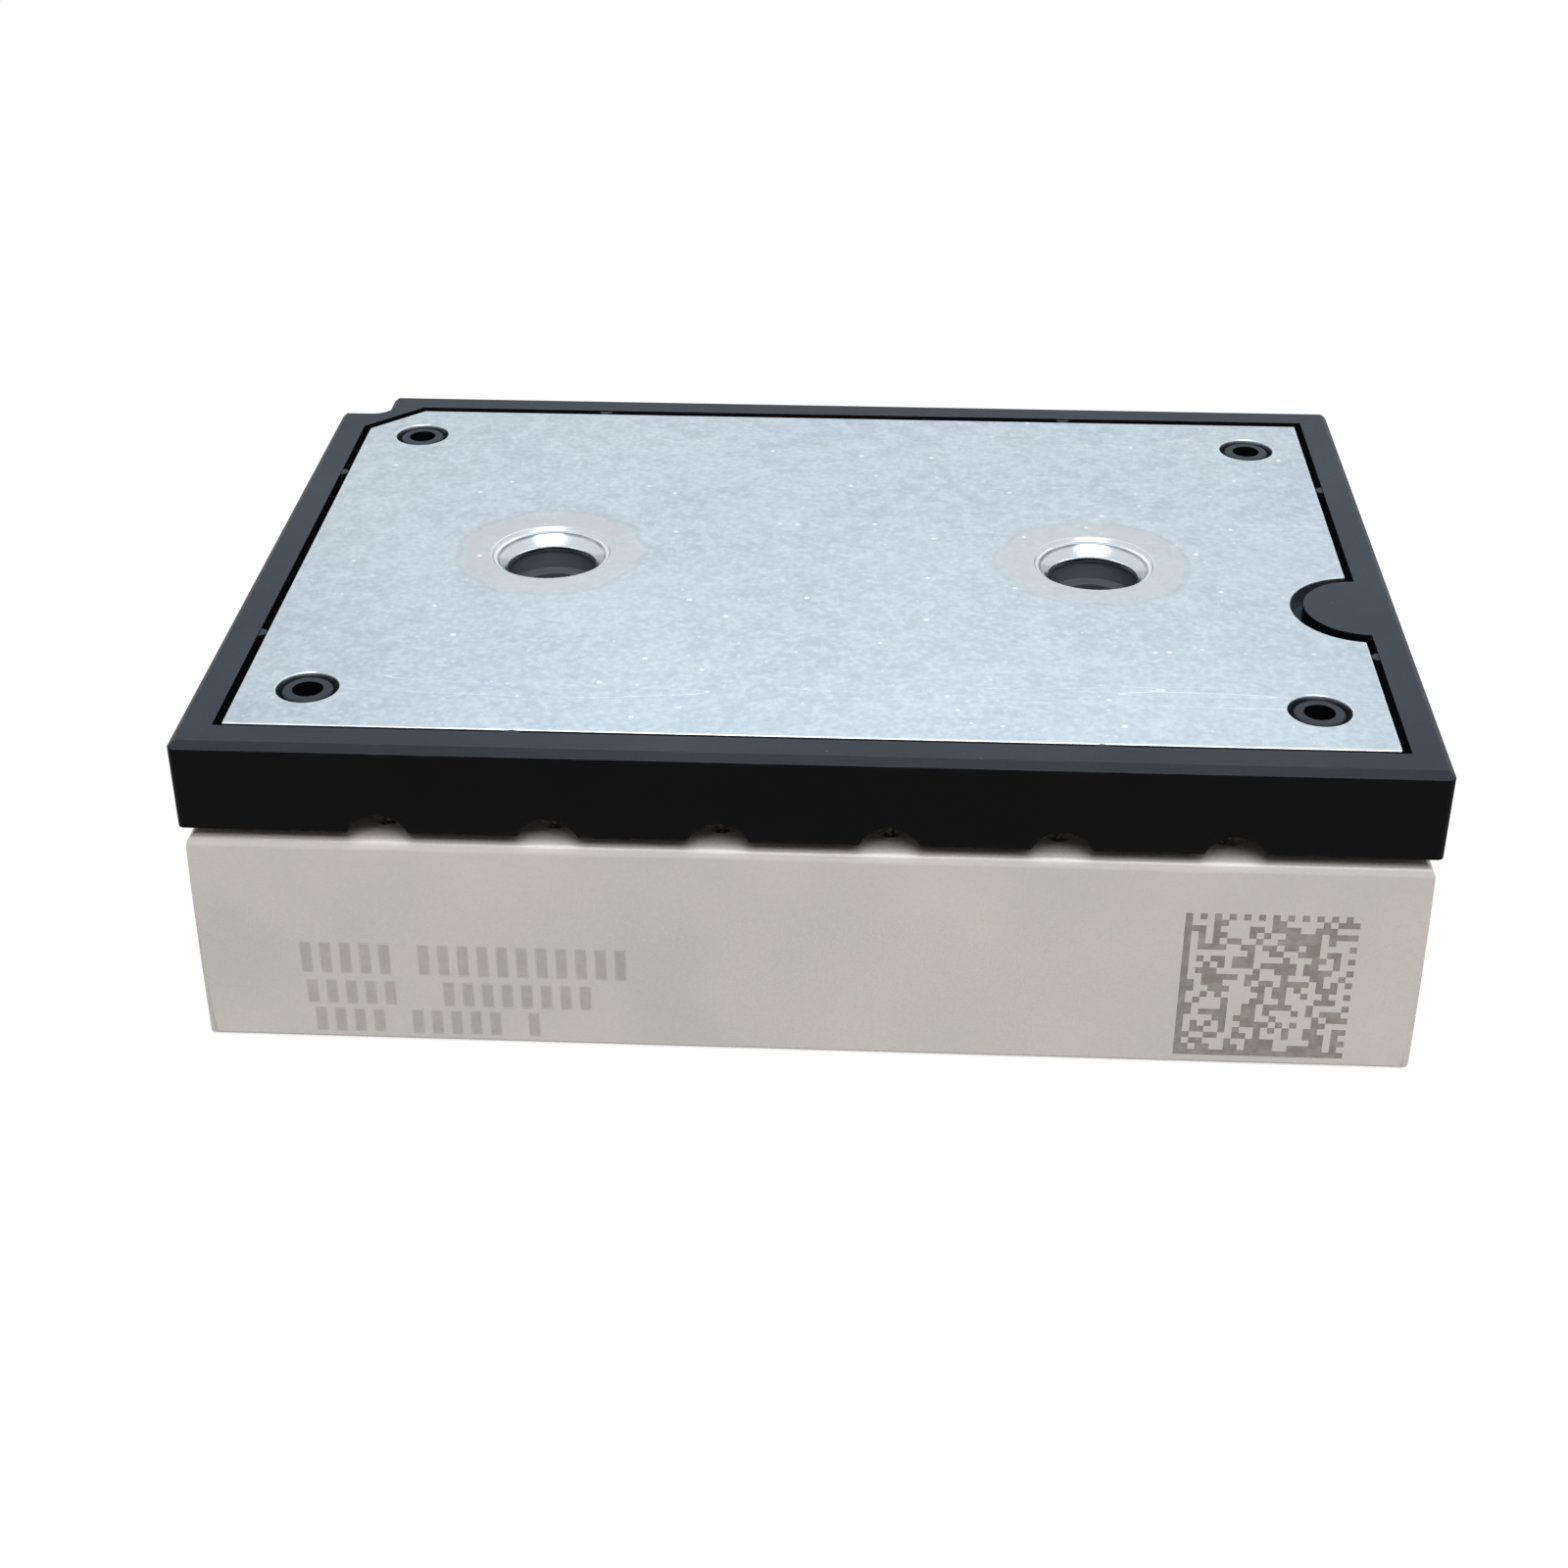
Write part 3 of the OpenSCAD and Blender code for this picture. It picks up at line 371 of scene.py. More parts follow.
def code_square(tree, x, z):
    """A square of seeded cells. Its left and lower sides are whole, and its other two sides are
    every second cell."""
    pitch = CODE_SIZE / CODE_CELLS
    column = add(tree, "ShaderNodeMath", [cell_of(tree, x, CODE_LEFT, pitch)], operation="FLOOR")
    row = add(tree, "ShaderNodeMath", [cell_of(tree, z, CODE_LOW, pitch)], operation="FLOOR")
    cell = add(tree, "ShaderNodeCombineXYZ", [column, row, CODE_SEED])
    chance = add(tree, "ShaderNodeTexWhiteNoise", {"Vector": cell}, noise_dimensions="3D")
    marked = add(tree, "ShaderNodeMath", [chance, 0.5], operation="GREATER_THAN")
    for along, other in ((column, row), (row, column)):
        last = add(tree, "ShaderNodeMath", [other, CODE_CELLS - 1.0, 0.1], operation="COMPARE")
        even = add(tree, "ShaderNodeMath", [along, 2.0], operation="MODULO")
        even = add(tree, "ShaderNodeMath", [even, 0.0, 0.1], operation="COMPARE")
        marked = add(tree, "ShaderNodeMix", [last, marked, even], data_type="FLOAT")
    for other in (column, row):
        first = add(tree, "ShaderNodeMath", [other, 0.0, 0.1], operation="COMPARE")
        marked = add(tree, "ShaderNodeMath", [marked, first], operation="MAXIMUM")
    wide = strip(tree, x, CODE_LEFT, CODE_LEFT + CODE_SIZE, 0.02)
    high = strip(tree, z, CODE_LOW, CODE_LOW + CODE_SIZE, 0.02)
    square = add(tree, "ShaderNodeMath", [wide, high], operation="MULTIPLY")
    return add(tree, "ShaderNodeMath", [marked, square], operation="MULTIPLY")


def block_row(tree, x, z, left, low, height, words):
    """A row of plain upright blocks, a fixed pitch apart, with room between its words."""
    share = add(tree, "ShaderNodeMath", [cell_of(tree, x, left, BLOCK_PITCH)], operation="FRACT")
    begun = add(tree, "ShaderNodeMapRange", [share, 0.0, 0.12])
    ended = add(tree, "ShaderNodeMapRange", [share, BLOCK_SHARE + 0.06, BLOCK_SHARE - 0.06])
    block = add(tree, "ShaderNodeMath", [begun, ended], operation="MULTIPLY")
    level = strip(tree, z, low, low + height, 0.1)
    block = add(tree, "ShaderNodeMath", [block, level], operation="MULTIPLY")
    written = 0.0
    for first, count in words:
        start, end = left + first * BLOCK_PITCH, left + (first + count) * BLOCK_PITCH
        word = strip(tree, x, start, end, 0.01)
        written = add(tree, "ShaderNodeMath", [written, word], operation="MAXIMUM")
    return add(tree, "ShaderNodeMath", [block, written], operation="MULTIPLY")


def marking(tree, where):
    """The share of laser marking on the housing's front, a little uneven."""
    x, y, z = add(tree, "ShaderNodeSeparateXYZ", [where]).outputs
    total = add(tree, "ShaderNodeMath", [code_square(tree, x, z), CODE_DARK], operation="MULTIPLY")
    for left, low, height, words in MARK_ROWS:
        row = block_row(tree, x, z, left, low, height, words)
        row = add(tree, "ShaderNodeMath", [row, BLOCK_DARK], operation="MULTIPLY")
        total = add(tree, "ShaderNodeMath", [total, row], operation="MAXIMUM")
    front_to = housing_front + FRONT_DEPTH * MM
    front = add(tree, "ShaderNodeMath", [y, front_to], operation="LESS_THAN")
    worn = add(tree, "ShaderNodeTexNoise", {"Vector": where, "Scale": per_mm(0.8), "Detail": 4.0})
    worn = add(tree, "ShaderNodeMapRange", [worn, 0.2, 0.6, 0.65, 1.0])
    total = add(tree, "ShaderNodeMath", [total, front], operation="MULTIPLY")
    return add(tree, "ShaderNodeMath", [total, worn], operation="MULTIPLY")


# Mineral-filled polyester, moulded and laser-marked: an eggshell off-white with faint flow clouds
# and a few dark grains. The laser leaves soft warm grey cells, and rows of plain blocks in place of
# words. The tooth of the surface is drawn coarser than it is, so that it shows.
def laser_marked_polyester():
    made, tree, where = new_material("polyester_moulded_laser_marked")
    clouds = add(tree, "ShaderNodeTexNoise", {"Vector": where, "Scale": per_mm(14), "Detail": 3.0})
    grain = add(tree, "ShaderNodeTexNoise", {"Vector": where, "Scale": per_mm(0.3), "Detail": 4.0})
    share = add(tree, "ShaderNodeMapRange", [clouds, 0.35, 0.65])
    colour = add(tree, "ShaderNodeMix", [share, linear("#cac7c0"), linear("#d6cfc6")],
                 data_type="RGBA")
    share = add(tree, "ShaderNodeMapRange", [grain, 0.45, 0.8, 0.0, 0.12])
    colour = add(tree, "ShaderNodeMix", [share, colour, linear("#b5b0a7")], data_type="RGBA")
    share = sparse_dots(tree, where, 4.5, 0.2, 0.3)
    share = add(tree, "ShaderNodeMath", [share, 0.3], operation="MULTIPLY")
    colour = add(tree, "ShaderNodeMix", [share, colour, linear("#8f887c")], data_type="RGBA")
    share = marking(tree, where)
    colour = add(tree, "ShaderNodeMix", [share, colour, linear("#7d756a")], data_type="RGBA")
    bump = add(tree, "ShaderNodeBump", {"Strength": 0.15, "Distance": 0.012 * MM, "Height": grain})
    rough = add(tree, "ShaderNodeMapRange", [grain, 0.3, 0.7, 0.22, 0.30])
    shader = add(tree, "ShaderNodeBsdfPrincipled", {
        "Base Color": colour, "IOR": 1.5, "Specular IOR Level": 0.5, "Roughness": rough,
        "Subsurface Weight": 0.06, "Subsurface Scale": 0.4 * MM, "Normal": bump})
    add(tree, "ShaderNodeOutputMaterial", {"Surface": shader})
    return made


# Alumina, sintered: an even warm white with no gloss, and a tooth drawn coarser than it is.
def sintered_alumina():
    made, tree, where = new_material("alumina_sintered")
    grain = add(tree, "ShaderNodeTexNoise", {"Vector": where, "Scale": per_mm(0.2), "Detail": 5.0})
    share = add(tree, "ShaderNodeMapRange", [grain, 0.3, 0.7])
    colour = add(tree, "ShaderNodeMix", [share, linear("#e4decf"), linear("#efeadd")],
                 data_type="RGBA")
    bump = add(tree, "ShaderNodeBump", {"Strength": 0.2, "Distance": 0.01 * MM, "Height": grain})
    rough = add(tree, "ShaderNodeMapRange", [grain, 0.3, 0.7, 0.5, 0.62])
    shader = add(tree, "ShaderNodeBsdfPrincipled", {
        "Base Color": colour, "IOR": 1.76, "Specular IOR Level": 0.35, "Roughness": rough,
        "Normal": bump})
    add(tree, "ShaderNodeOutputMaterial", {"Surface": shader})
    return made


# Copper bonded to ceramic in a furnace: the heat grows crystals near a millimetre across, each with
# its own sheen, under a thin uneven tarnish, over the fine lines left by rolling. The lines are
# drawn coarser than they are, so that they show.
def bonded_copper():
    made, tree, where = new_material("copper_direct_bonded")
    crystals = add(tree, "ShaderNodeTexVoronoi", {"Vector": where, "Scale": per_mm(1.1)})
    crystal = add(tree, "ShaderNodeSeparateColor", [crystals.outputs["Color"]])
    stretched = add(tree, "ShaderNodeMapping", {"Vector": where, "Scale": (0.08, 1, 1)})
    rolled = add(tree, "ShaderNodeTexNoise",
                 {"Vector": stretched, "Scale": per_mm(0.2), "Detail": 3.0})
    tarnish = add(tree, "ShaderNodeTexNoise", {"Vector": where, "Scale": per_mm(8), "Detail": 5.0})
    tarnish = add(tree, "ShaderNodeMapRange", [tarnish, 0.42, 0.75, 0.0, 0.5])
    colour = add(tree, "ShaderNodeMix", [crystal, linear("#c98a66"), linear("#dba07c")],
                 data_type="RGBA")
    colour = add(tree, "ShaderNodeMix", [tarnish, colour, linear("#9c5f45")], data_type="RGBA")
    height = add(tree, "ShaderNodeMath", [crystal, rolled], operation="ADD")
    bump = add(tree, "ShaderNodeBump", {"Strength": 0.25, "Distance": 0.005 * MM, "Height": height})
    rough = add(tree, "ShaderNodeMapRange", [rolled, 0.3, 0.7, 0.30, 0.42])
    rough = add(tree, "ShaderNodeMath", [tarnish, 0.24, rough], operation="MULTIPLY_ADD")
    shader = add(tree, "ShaderNodeBsdfPrincipled", {
        "Base Color": colour, "Metallic": 1.0, "Roughness": rough, "Normal": bump})
    add(tree, "ShaderNodeOutputMaterial", {"Surface": shader})
    return made


# Silicone adhesive, dispensed and cured: a dark rubbery bead with slow swells and a soft sheen.
def cured_adhesive():
    made, tree, where = new_material("silicone_adhesive_cured")
    swell = add(tree, "ShaderNodeTexNoise", {"Vector": where, "Scale": per_mm(1.5), "Detail": 2.0})
    share = add(tree, "ShaderNodeMapRange", [swell, 0.3, 0.7])
    colour = add(tree, "ShaderNodeMix", [share, linear("#3a3b3d"), linear("#4a4b4d")],
                 data_type="RGBA")
    bump = add(tree, "ShaderNodeBump", {"Strength": 0.4, "Distance": 0.03 * MM, "Height": swell})
    rough = add(tree, "ShaderNodeMapRange", [swell, 0.3, 0.7, 0.45, 0.6])
    shader = add(tree, "ShaderNodeBsdfPrincipled", {
        "Base Color": colour, "IOR": 1.41, "Roughness": rough, "Normal": bump})
    add(tree, "ShaderNodeOutputMaterial", {"Surface": shader})
    return made


# Silicone gel, poured over the chips and cured: clear, faintly blue and soft, with slow waves in
# its surface.
def poured_gel():
    made, tree, where = new_material("silicone_gel_poured")
    waves = add(tree, "ShaderNodeTexNoise", {"Vector": where, "Scale": per_mm(6), "Detail": 1.0})
    share = add(tree, "ShaderNodeMapRange", [waves, 0.3, 0.7])
    colour = add(tree, "ShaderNodeMix", [share, linear("#dfeaee"), linear("#eef4f6")],
                 data_type="RGBA")
    bump = add(tree, "ShaderNodeBump", {"Strength": 0.3, "Distance": 0.05 * MM, "Height": waves})
    shader = add(tree, "ShaderNodeBsdfPrincipled", {
        "Base Color": colour, "IOR": 1.41, "Roughness": 0.06, "Transmission Weight": 0.9,
        "Normal": bump})
    add(tree, "ShaderNodeOutputMaterial", {"Surface": shader})
    return made


# Silicon chip, metallised with aluminium: a satin pale grey, crossed by fine dark lines.
def metallised_silicon():
    made, tree, where = new_material("silicon_aluminium_metallised")
    haze = add(tree, "ShaderNodeTexNoise", {"Vector": where, "Scale": per_mm(0.6), "Detail": 4.0})
    share = add(tree, "ShaderNodeMapRange", [haze, 0.3, 0.7])
    colour = add(tree, "ShaderNodeMix", [share, linear("#a9aeb3"), linear("#bcc1c5")],
                 data_type="RGBA")
    lines = add(tree, "ShaderNodeSeparateXYZ", [where]).outputs["Y"]
    lines = add(tree, "ShaderNodeMath", [cell_of(tree, lines, 0.0, CHIP_CELL), 1.0],
                operation="PINGPONG")
    lines = add(tree, "ShaderNodeMapRange", [lines, 0.10, 0.04, 0.0, 0.8])
    colour = add(tree, "ShaderNodeMix", [lines, colour, linear("#4d5560")], data_type="RGBA")
    bump = add(tree, "ShaderNodeBump", {"Strength": 0.2, "Distance": 0.005 * MM, "Height": haze})
    rough = add(tree, "ShaderNodeMapRange", [haze, 0.3, 0.7, 0.34, 0.46])
    shader = add(tree, "ShaderNodeBsdfPrincipled", {
        "Base Color": colour, "Metallic": 0.9, "Roughness": rough, "Normal": bump})
    add(tree, "ShaderNodeOutputMaterial", {"Surface": shader})
    return made


# Aluminium wire, drawn and annealed: soft white metal, with faint lines coarser than a die's.
def drawn_aluminium():
    made, tree, where = new_material("aluminium_wire_drawn")
    lines = add(tree, "ShaderNodeTexNoise", {"Vector": where, "Scale": per_mm(0.08), "Detail": 3.0})
    share = add(tree, "ShaderNodeMapRange", [lines, 0.3, 0.7])
    colour = add(tree, "ShaderNodeMix", [share, linear("#d2d5d8"), linear("#e2e4e6")],
                 data_type="RGBA")
    bump = add(tree, "ShaderNodeBump", {"Strength": 0.2, "Distance": 0.004 * MM, "Height": lines})
    rough = add(tree, "ShaderNodeMapRange", [lines, 0.3, 0.7, 0.25, 0.36])
    shader = add(tree, "ShaderNodeBsdfPrincipled", {
        "Base Color": colour, "Metallic": 1.0, "Roughness": rough, "Normal": bump})
    add(tree, "ShaderNodeOutputMaterial", {"Surface": shader})
    return made


# Spring bronze, coiled and silver-plated: pale metal with a warm tarnish that gathers in patches.
def plated_spring_wire():
    made, tree, where = new_material("spring_bronze_silver_plated")
    tarnish = add(tree, "ShaderNodeTexNoise",
                  {"Vector": where, "Scale": per_mm(0.9), "Detail": 4.0})
    tarnish = add(tree, "ShaderNodeMapRange", [tarnish, 0.45, 0.75, 0.0, 0.5])
    lines = add(tree, "ShaderNodeTexNoise", {"Vector": where, "Scale": per_mm(0.1), "Detail": 3.0})
    colour = add(tree, "ShaderNodeMix", [tarnish, linear("#dcd9d0"), linear("#b8a888")],
                 data_type="RGBA")
    bump = add(tree, "ShaderNodeBump", {"Strength": 0.15, "Distance": 0.004 * MM, "Height": lines})
    rough = add(tree, "ShaderNodeMapRange", [lines, 0.3, 0.7, 0.22, 0.34])
    shader = add(tree, "ShaderNodeBsdfPrincipled", {
        "Base Color": colour, "Metallic": 1.0, "Roughness": rough, "Normal": bump})
    add(tree, "ShaderNodeOutputMaterial", {"Surface": shader})
    return made


# Chip thermistor, glazed ceramic with tinned ends: dark green-grey between two dull metal caps.
def chip_thermistor():
    made, tree, where = new_material("thermistor_glazed_ceramic")
    along = add(tree, "ShaderNodeSeparateXYZ", [where]).outputs["Y"]
    along = add(tree, "ShaderNodeMath", [along], operation="ABSOLUTE")
    cap_from = sensor_end - TIN_CAP * MM
    cap = add(tree, "ShaderNodeMapRange",
              [along, cap_from - TIN_SOFT * MM, cap_from + TIN_SOFT * MM])
    speckle = add(tree, "ShaderNodeTexNoise",
                  {"Vector": where, "Scale": per_mm(0.15), "Detail": 4.0})
    share = add(tree, "ShaderNodeMapRange", [speckle, 0.35, 0.7])
    body = add(tree, "ShaderNodeMix", [share, linear("#2f3a36"), linear("#46524c")],
               data_type="RGBA")
    tin = add(tree, "ShaderNodeMix", [share, linear("#b9bbbb"), linear("#cfd1d0")],
              data_type="RGBA")
    colour = add(tree, "ShaderNodeMix", [cap, body, tin], data_type="RGBA")
    bump = add(tree, "ShaderNodeBump", {"Strength": 0.2, "Distance": 0.01 * MM, "Height": speckle})
    rough = add(tree, "ShaderNodeMapRange", [cap, 0.0, 1.0, 0.25, 0.4])
    shader = add(tree, "ShaderNodeBsdfPrincipled", {
        "Base Color": colour, "Metallic": cap, "Roughness": rough, "Normal": bump})
    add(tree, "ShaderNodeOutputMaterial", {"Surface": shader})
    return made


# ---- pieces ----

def dress(obj, material):
    obj.data.materials.clear()
    obj.data.materials.append(material)


def rounded_copy(node, name, edge, material):
    """A copy of a CAD node, its triangles joined into whole faces and its sharp edges rounded."""
    mesh = nodes[node].data.copy()
    bm = bmesh.new()
    bm.from_mesh(mesh)
    bmesh.ops.remove_doubles(bm, verts=bm.verts, dist=MERGED_WITHIN * MM)
    bmesh.ops.dissolve_limit(bm, angle_limit=math.radians(FLAT_TO), verts=bm.verts, edges=bm.edges,
                             delimit={"NORMAL"})
    bm.to_mesh(mesh)
    bm.free()
    made = bpy.data.objects.new(name, mesh)
    scene.collection.objects.link(made)
    bevel = made.modifiers.new("rounded edges", "BEVEL")
    width, steps = edge
    bevel.width, bevel.segments = width * MM, steps
    bevel.limit_method, bevel.angle_limit = "ANGLE", math.radians(ROUNDED_FROM)
    bevel.use_clamp_overlap, bevel.harden_normals = True, False
    bpy.context.view_layer.update()
    evaluated = made.evaluated_get(bpy.context.evaluated_depsgraph_get())
    solid = bpy.data.meshes.new_from_object(evaluated)
    made.modifiers.clear()
    made.data = solid
    solid.shade_smooth()
    solid.set_sharp_from_angle(angle=math.radians(SHARP_FROM))
    weight = made.modifiers.new("flat faces stay flat", "WEIGHTED_NORMAL")
    weight.keep_sharp = True
    dress(made, material)
    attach(made, "root")
    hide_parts(node)
    return made


def spring_tree():
    """Geometry Nodes that wind a spring on each point: a straight foot, a coil that runs in from
    the axis and back to it, and a straight head, with a dome on each tip of the wire."""
    tree = bpy.data.node_groups.new("wound_springs", "GeometryNodeTree")
    tree.interface.new_socket("Springs", in_out="OUTPUT", socket_type="NodeSocketGeometry")
    tree.interface.new_socket("Places", in_out="INPUT", socket_type="NodeSocketGeometry")
    for name in ("Height", "Foot", "Run-in", "Pitch", "Turns", "Coil radius", "Wire radius"):
        tree.interface.new_socket(name, in_out="INPUT", socket_type="NodeSocketFloat")
    for name in ("Steps", "Sides"):
        tree.interface.new_socket(name, in_out="INPUT", socket_type="NodeSocketInt")
    tree.interface.new_socket("Finish", in_out="INPUT", socket_type="NodeSocketMaterial")
    given = add(tree, "NodeGroupInput").outputs

    top = add(tree, "ShaderNodeCombineXYZ", [0.0, 0.0, given["Height"]])
    axis = add(tree, "GeometryNodeCurvePrimitiveLine", {"End": top})
    axis = add(tree, "GeometryNodeResampleCurve", {"Curve": axis, "Count": given["Steps"]})
    rise = add(tree, "GeometryNodeSplineParameter").outputs["Length"]

    # the coil's ends along the axis, and how far out the wire is at each height
    coil_top = add(tree, "ShaderNodeMath", [given["Pitch"], given["Turns"], given["Foot"]],
                   operation="MULTIPLY_ADD")
    run_from = add(tree, "ShaderNodeMath", [given["Foot"], given["Run-in"]], operation="SUBTRACT")
    run_to = add(tree, "ShaderNodeMath", [coil_top, given["Run-in"]], operation="ADD")
    run_in = add(tree, "ShaderNodeMapRange", [rise, run_from, given["Foot"]],
                 interpolation_type="SMOOTHSTEP")
    run_out = add(tree, "ShaderNodeMapRange", [rise, run_to, coil_top],
                  interpolation_type="SMOOTHSTEP")
    out = add(tree, "ShaderNodeMath", [run_in, run_out], operation="MULTIPLY")
    out = add(tree, "ShaderNodeMath", [out, given["Coil radius"]], operation="MULTIPLY")
    above = add(tree, "ShaderNodeMath", [rise, given["Foot"]], operation="SUBTRACT")
    turned = add(tree, "ShaderNodeMath", [above, given["Pitch"]], operation="DIVIDE")
    turned = add(tree, "ShaderNodeMath", [turned, math.tau], operation="MULTIPLY")
    x = add(tree, "ShaderNodeMath", [turned], operation="COSINE")
    x = add(tree, "ShaderNodeMath", [x, out], operation="MULTIPLY")
    y = add(tree, "ShaderNodeMath", [turned], operation="SINE")
    y = add(tree, "ShaderNodeMath", [y, out], operation="MULTIPLY")
    coil = add(tree, "ShaderNodeCombineXYZ", [x, y, rise])
    wound = add(tree, "GeometryNodeSetPosition", {"Geometry": axis, "Position": coil})

    # the domes: near a tip the wire's radius follows a circle
    left = add(tree, "ShaderNodeMath", [given["Height"], rise], operation="SUBTRACT")
    near = add(tree, "ShaderNodeMath", [rise, left], operation="MINIMUM")
    near = add(tree, "ShaderNodeMapRange", [near, 0.0, given["Wire radius"], 0.97, 0.0])
    near = add(tree, "ShaderNodeMath", [near, near], operation="MULTIPLY")
    near = add(tree, "ShaderNodeMath", [1.0, near], operation="SUBTRACT")
    dome = add(tree, "ShaderNodeMath", [near], operation="SQRT")
    wound = add(tree, "GeometryNodeSetCurveRadius", {"Curve": wound, "Radius": dome})
    ring = add(tree, "GeometryNodeCurvePrimitiveCircle",
               {"Resolution": given["Sides"], "Radius": given["Wire radius"]})
    wire = add(tree, "GeometryNodeCurveToMesh",
               {"Curve": wound, "Profile Curve": ring, "Fill Caps": True})
    wire = add(tree, "GeometryNodeSetShadeSmooth", {"Geometry": wire, "Shade Smooth": True})
    placed = add(tree, "GeometryNodeInstanceOnPoints",
                 {"Points": given["Places"], "Instance": wire})
    whole = add(tree, "GeometryNodeRealizeInstances", {"Geometry": placed})
    whole = add(tree, "GeometryNodeSetMaterial", {"Geometry": whole, "Material": given["Finish"]})
    add(tree, "NodeGroupOutput", {"Springs": whole})
    return tree


def wind_springs(finish):
    """All the contact springs in one piece, each on the axis and between the ends of its solid."""
    boxes = [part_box(name) for name in SPRINGS]
    foot, tip = boxes[0]
    places = [((low.x + high.x) / 2, (low.y + high.y) / 2, low.z) for low, high in boxes]
    mesh = bpy.data.meshes.new("spring_places")
    mesh.from_pydata(places, [], [])
    made = bpy.data.objects.new("contact_springs", mesh)
    scene.collection.objects.link(made)
    wound = made.modifiers.new("wound springs", "NODES")
    wound.node_group = spring_tree()
    sizes = {"Height": tip.z - foot.z, "Foot": SPRING_FOOT * MM, "Run-in": SPRING_BEND * MM,
             "Pitch": SPRING_PITCH * MM, "Turns": SPRING_TURNS, "Coil radius": SPRING_R * MM,
             "Wire radius": WIRE_R * MM, "Steps": WIRE_STEPS, "Sides": WIRE_SIDES, "Finish": finish}
    for socket in wound.node_group.interface.items_tree:
        if socket.name in sizes:
            wound[socket.identifier] = sizes[socket.name]
    bpy.context.view_layer.update()
    evaluated = made.evaluated_get(bpy.context.evaluated_depsgraph_get())
    made.data = bpy.data.meshes.new_from_object(evaluated)
    made.modifiers.clear()
    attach(made, "root")
    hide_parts(*SPRINGS)


rounded_copy("pressure_lid", "lid_moulding", LID_EDGE, glass_filled_polyester())
rounded_copy("pressure_plate", "plate_sheet", PLATE_EDGE, zinc_plated_steel())
rounded_copy("spring_housing", "housing_moulding", HOUSING_EDGE, laser_marked_polyester())
wind_springs(plated_spring_wire())

DRESSED = (
    (sintered_alumina(), ["ceramic_substrate"]),
    (bonded_copper(), [n for n in nodes if n.startswith("copper_")] + ["heat_sink_copper"]),
    (cured_adhesive(), ["substrate_adhesive"]),
    (poured_gel(), ["silicone_gel"]),
    (metallised_silicon(), [n for n in nodes if n.startswith(("igbt_", "diode_"))]),
    (drawn_aluminium(), [n for n in nodes if n.startswith("bond_wires_")]),
    (chip_thermistor(), ["temperature_sensor"]),
)
for finish, members in DRESSED:
    for name in members:
        dress(nodes[name], finish)


# ---- floor, light and camera ----

# Paper, laid flat: white to the eye and to metal, with the part's soft shadow. From below it is
# clear.
def backdrop_paper():
    made, tree, where = new_material("paper_backdrop")
    path = add(tree, "ShaderNodeLightPath").outputs
    seen = add(tree, "ShaderNodeMath", [path["Is Camera Ray"], path["Is Glossy Ray"]],
               operation="MAXIMUM")
    seen = add(tree, "ShaderNodeMath", [seen, path["Is Transmission Ray"]], operation="MAXIMUM")
    fibre = add(tree, "ShaderNodeTexNoise", {"Vector": where, "Scale": per_mm(1.5), "Detail": 3.0})
    colour = add(tree, "ShaderNodeMix", [fibre, linear("#9c9c9b"), linear("#a0a09f")],
                 data_type="RGBA")
    paper = add(tree, "ShaderNodeBsdfDiffuse", {"Color": colour})
    lift = add(tree, "ShaderNodeMath", [seen, PAPER_LIFT], operation="MULTIPLY")
    lift = add(tree, "ShaderNodeEmission", {"Strength": lift})
    lit = add(tree, "ShaderNodeAddShader", [paper, lift])
    below = add(tree, "ShaderNodeNewGeometry").outputs["Backfacing"]
    clear = add(tree, "ShaderNodeBsdfTransparent")
    both = add(tree, "ShaderNodeMixShader", [below, lit, clear])
    add(tree, "ShaderNodeOutputMaterial", {"Surface": both})
    return made


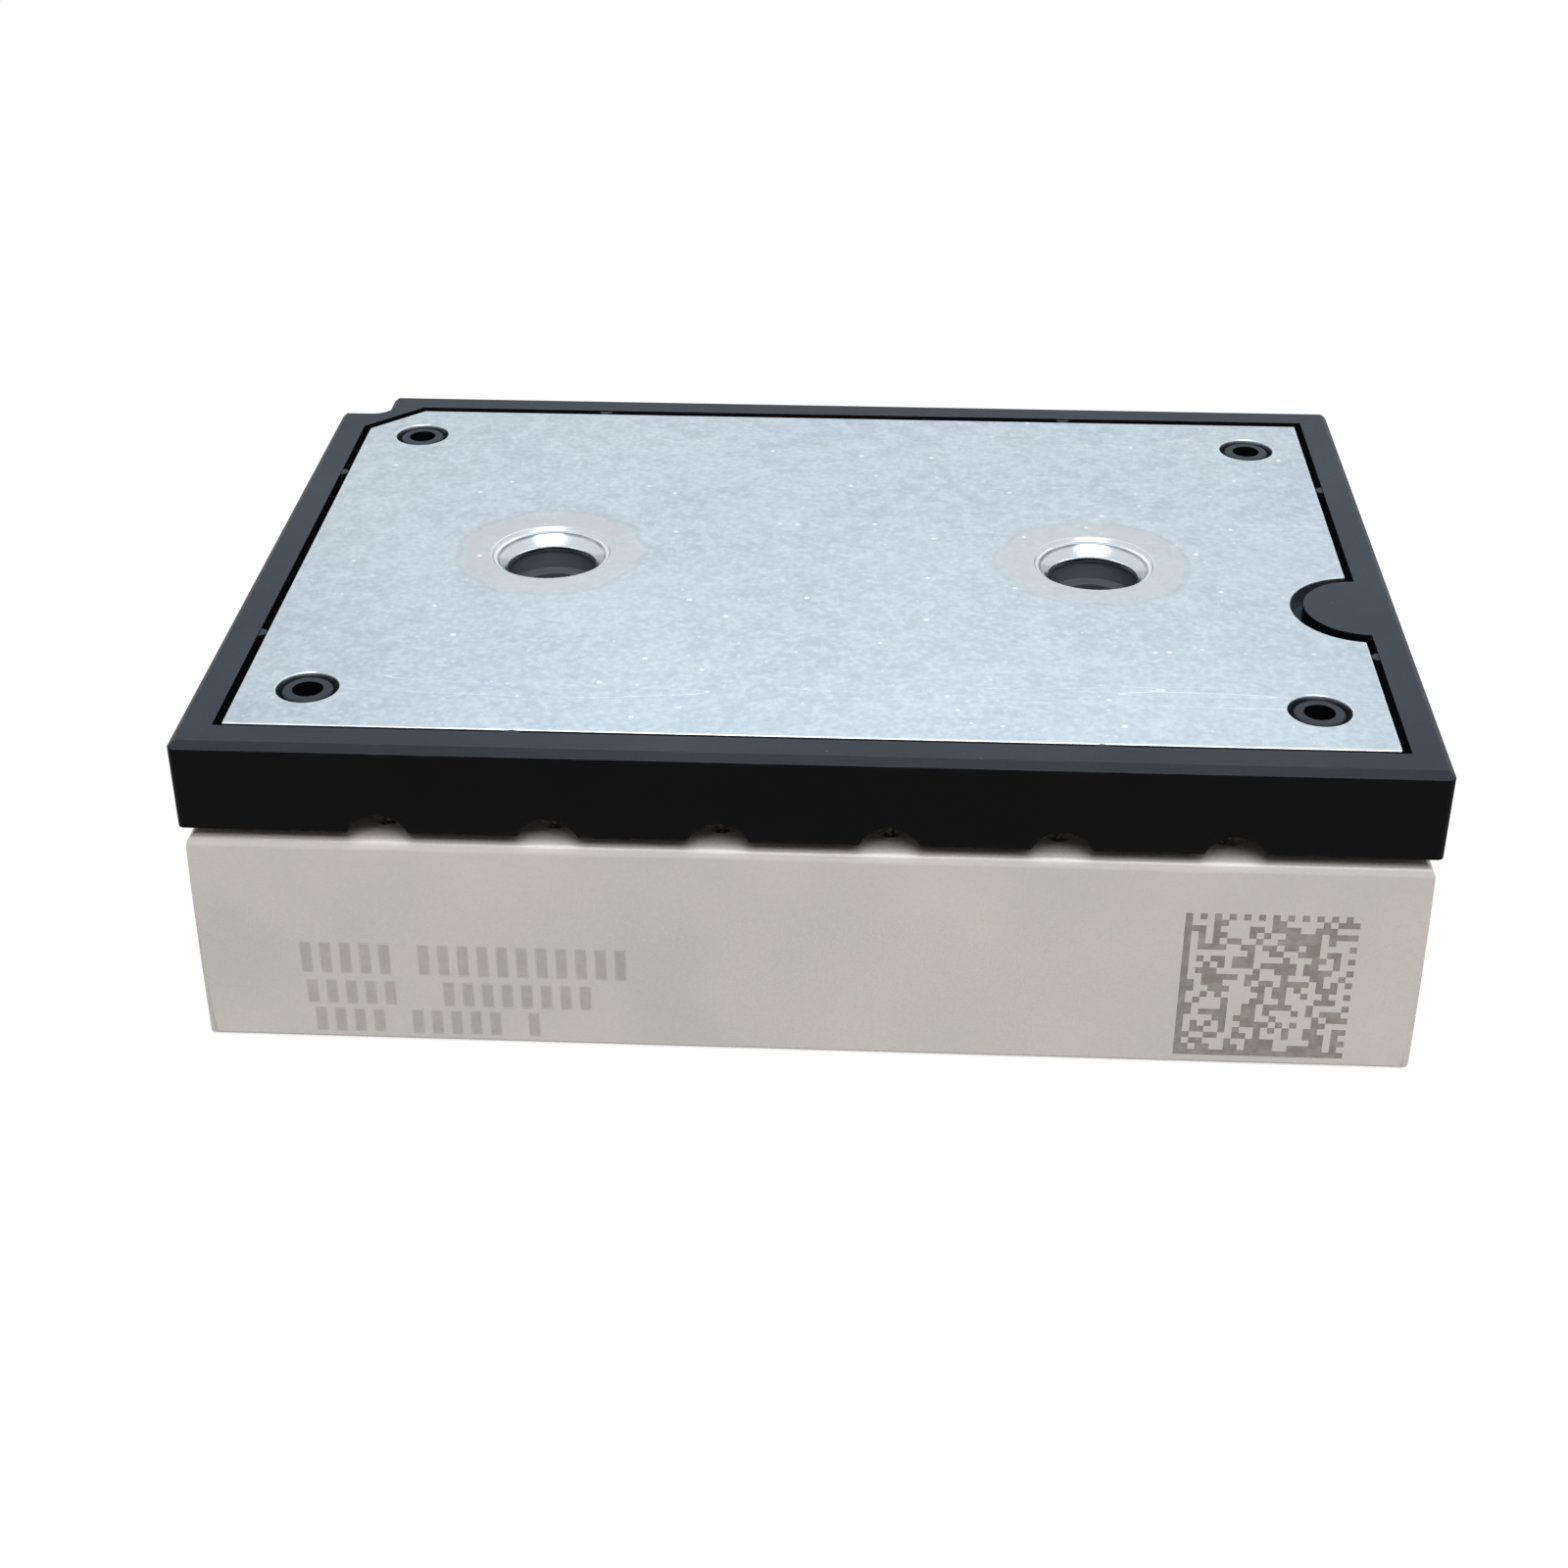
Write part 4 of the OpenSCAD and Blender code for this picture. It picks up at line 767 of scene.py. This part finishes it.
half = FLOOR_HALF * MM
floor_z = cad_box[0].z - FLOOR_DROP * MM
corners = [(x, y, floor_z) for x, y in ((-half, -half), (half, -half), (half, half), (-half, half))]
floor_mesh = bpy.data.meshes.new("floor")
floor_mesh.from_pydata(corners, [], [(0, 1, 2, 3)])
floor = bpy.data.objects.new("floor", floor_mesh)
scene.collection.objects.link(floor)
dress(floor, backdrop_paper())

# the room: a soft warm light on the object, and plain white to the eye and in reflections
world = bpy.data.worlds.new("studio")
scene.world = world
world.use_nodes = True
room = world.node_tree
room.nodes.clear()
path = add(room, "ShaderNodeLightPath").outputs
shown = add(room, "ShaderNodeMath", [path["Is Camera Ray"], path["Is Glossy Ray"]],
            operation="MAXIMUM")
shown = add(room, "ShaderNodeMath", [shown, path["Is Transmission Ray"]], operation="MAXIMUM")
soft = add(room, "ShaderNodeBackground", {"Color": linear("#fff6ec"), "Strength": ROOM_LEVEL})
white = add(room, "ShaderNodeBackground", {"Color": linear("#ffffff"), "Strength": WHITE_LEVEL})
both = add(room, "ShaderNodeMixShader", [shown, soft, white])
add(room, "ShaderNodeOutputWorld", {"Surface": both})


def softbox(name, place, size, level, colour):
    """A square soft light, turned to the part, whose face has the given level of brightness."""
    lamp = bpy.data.lights.new(name, "AREA")
    lamp.shape, lamp.size = "SQUARE", size * MM
    lamp.energy = level * math.pi * (size * MM) ** 2
    lamp.color = linear(colour)[:3]
    made = bpy.data.objects.new(name, lamp)
    made.location = Vector(place) * MM
    made.rotation_euler = (LIGHTS_AIM - Vector(place)).to_track_quat("-Z", "Y").to_euler()
    scene.collection.objects.link(made)


softbox("softbox_behind", place=(0, 580, 600), size=450, level=1.05, colour="#f2f8ff")
softbox("softbox_front", place=(60, -380, 670), size=500, level=7.3, colour="#f4f8ff")

camera_data = bpy.data.cameras.new("camera")
camera = bpy.data.objects.new("camera", camera_data)
scene.collection.objects.link(camera)
scene.camera = camera
camera_data.sensor_width, camera_data.lens = CAMERA_SENSOR, CAMERA_LENS
camera_data.clip_start, camera_data.clip_end = CAMERA_NEAR * MM, CAMERA_FAR * MM
camera.location = [c * MM for c in CAMERA_PLACE]
camera.rotation_euler = [math.radians(a) for a in CAMERA_TURN]

scene.view_settings.view_transform = "Standard"
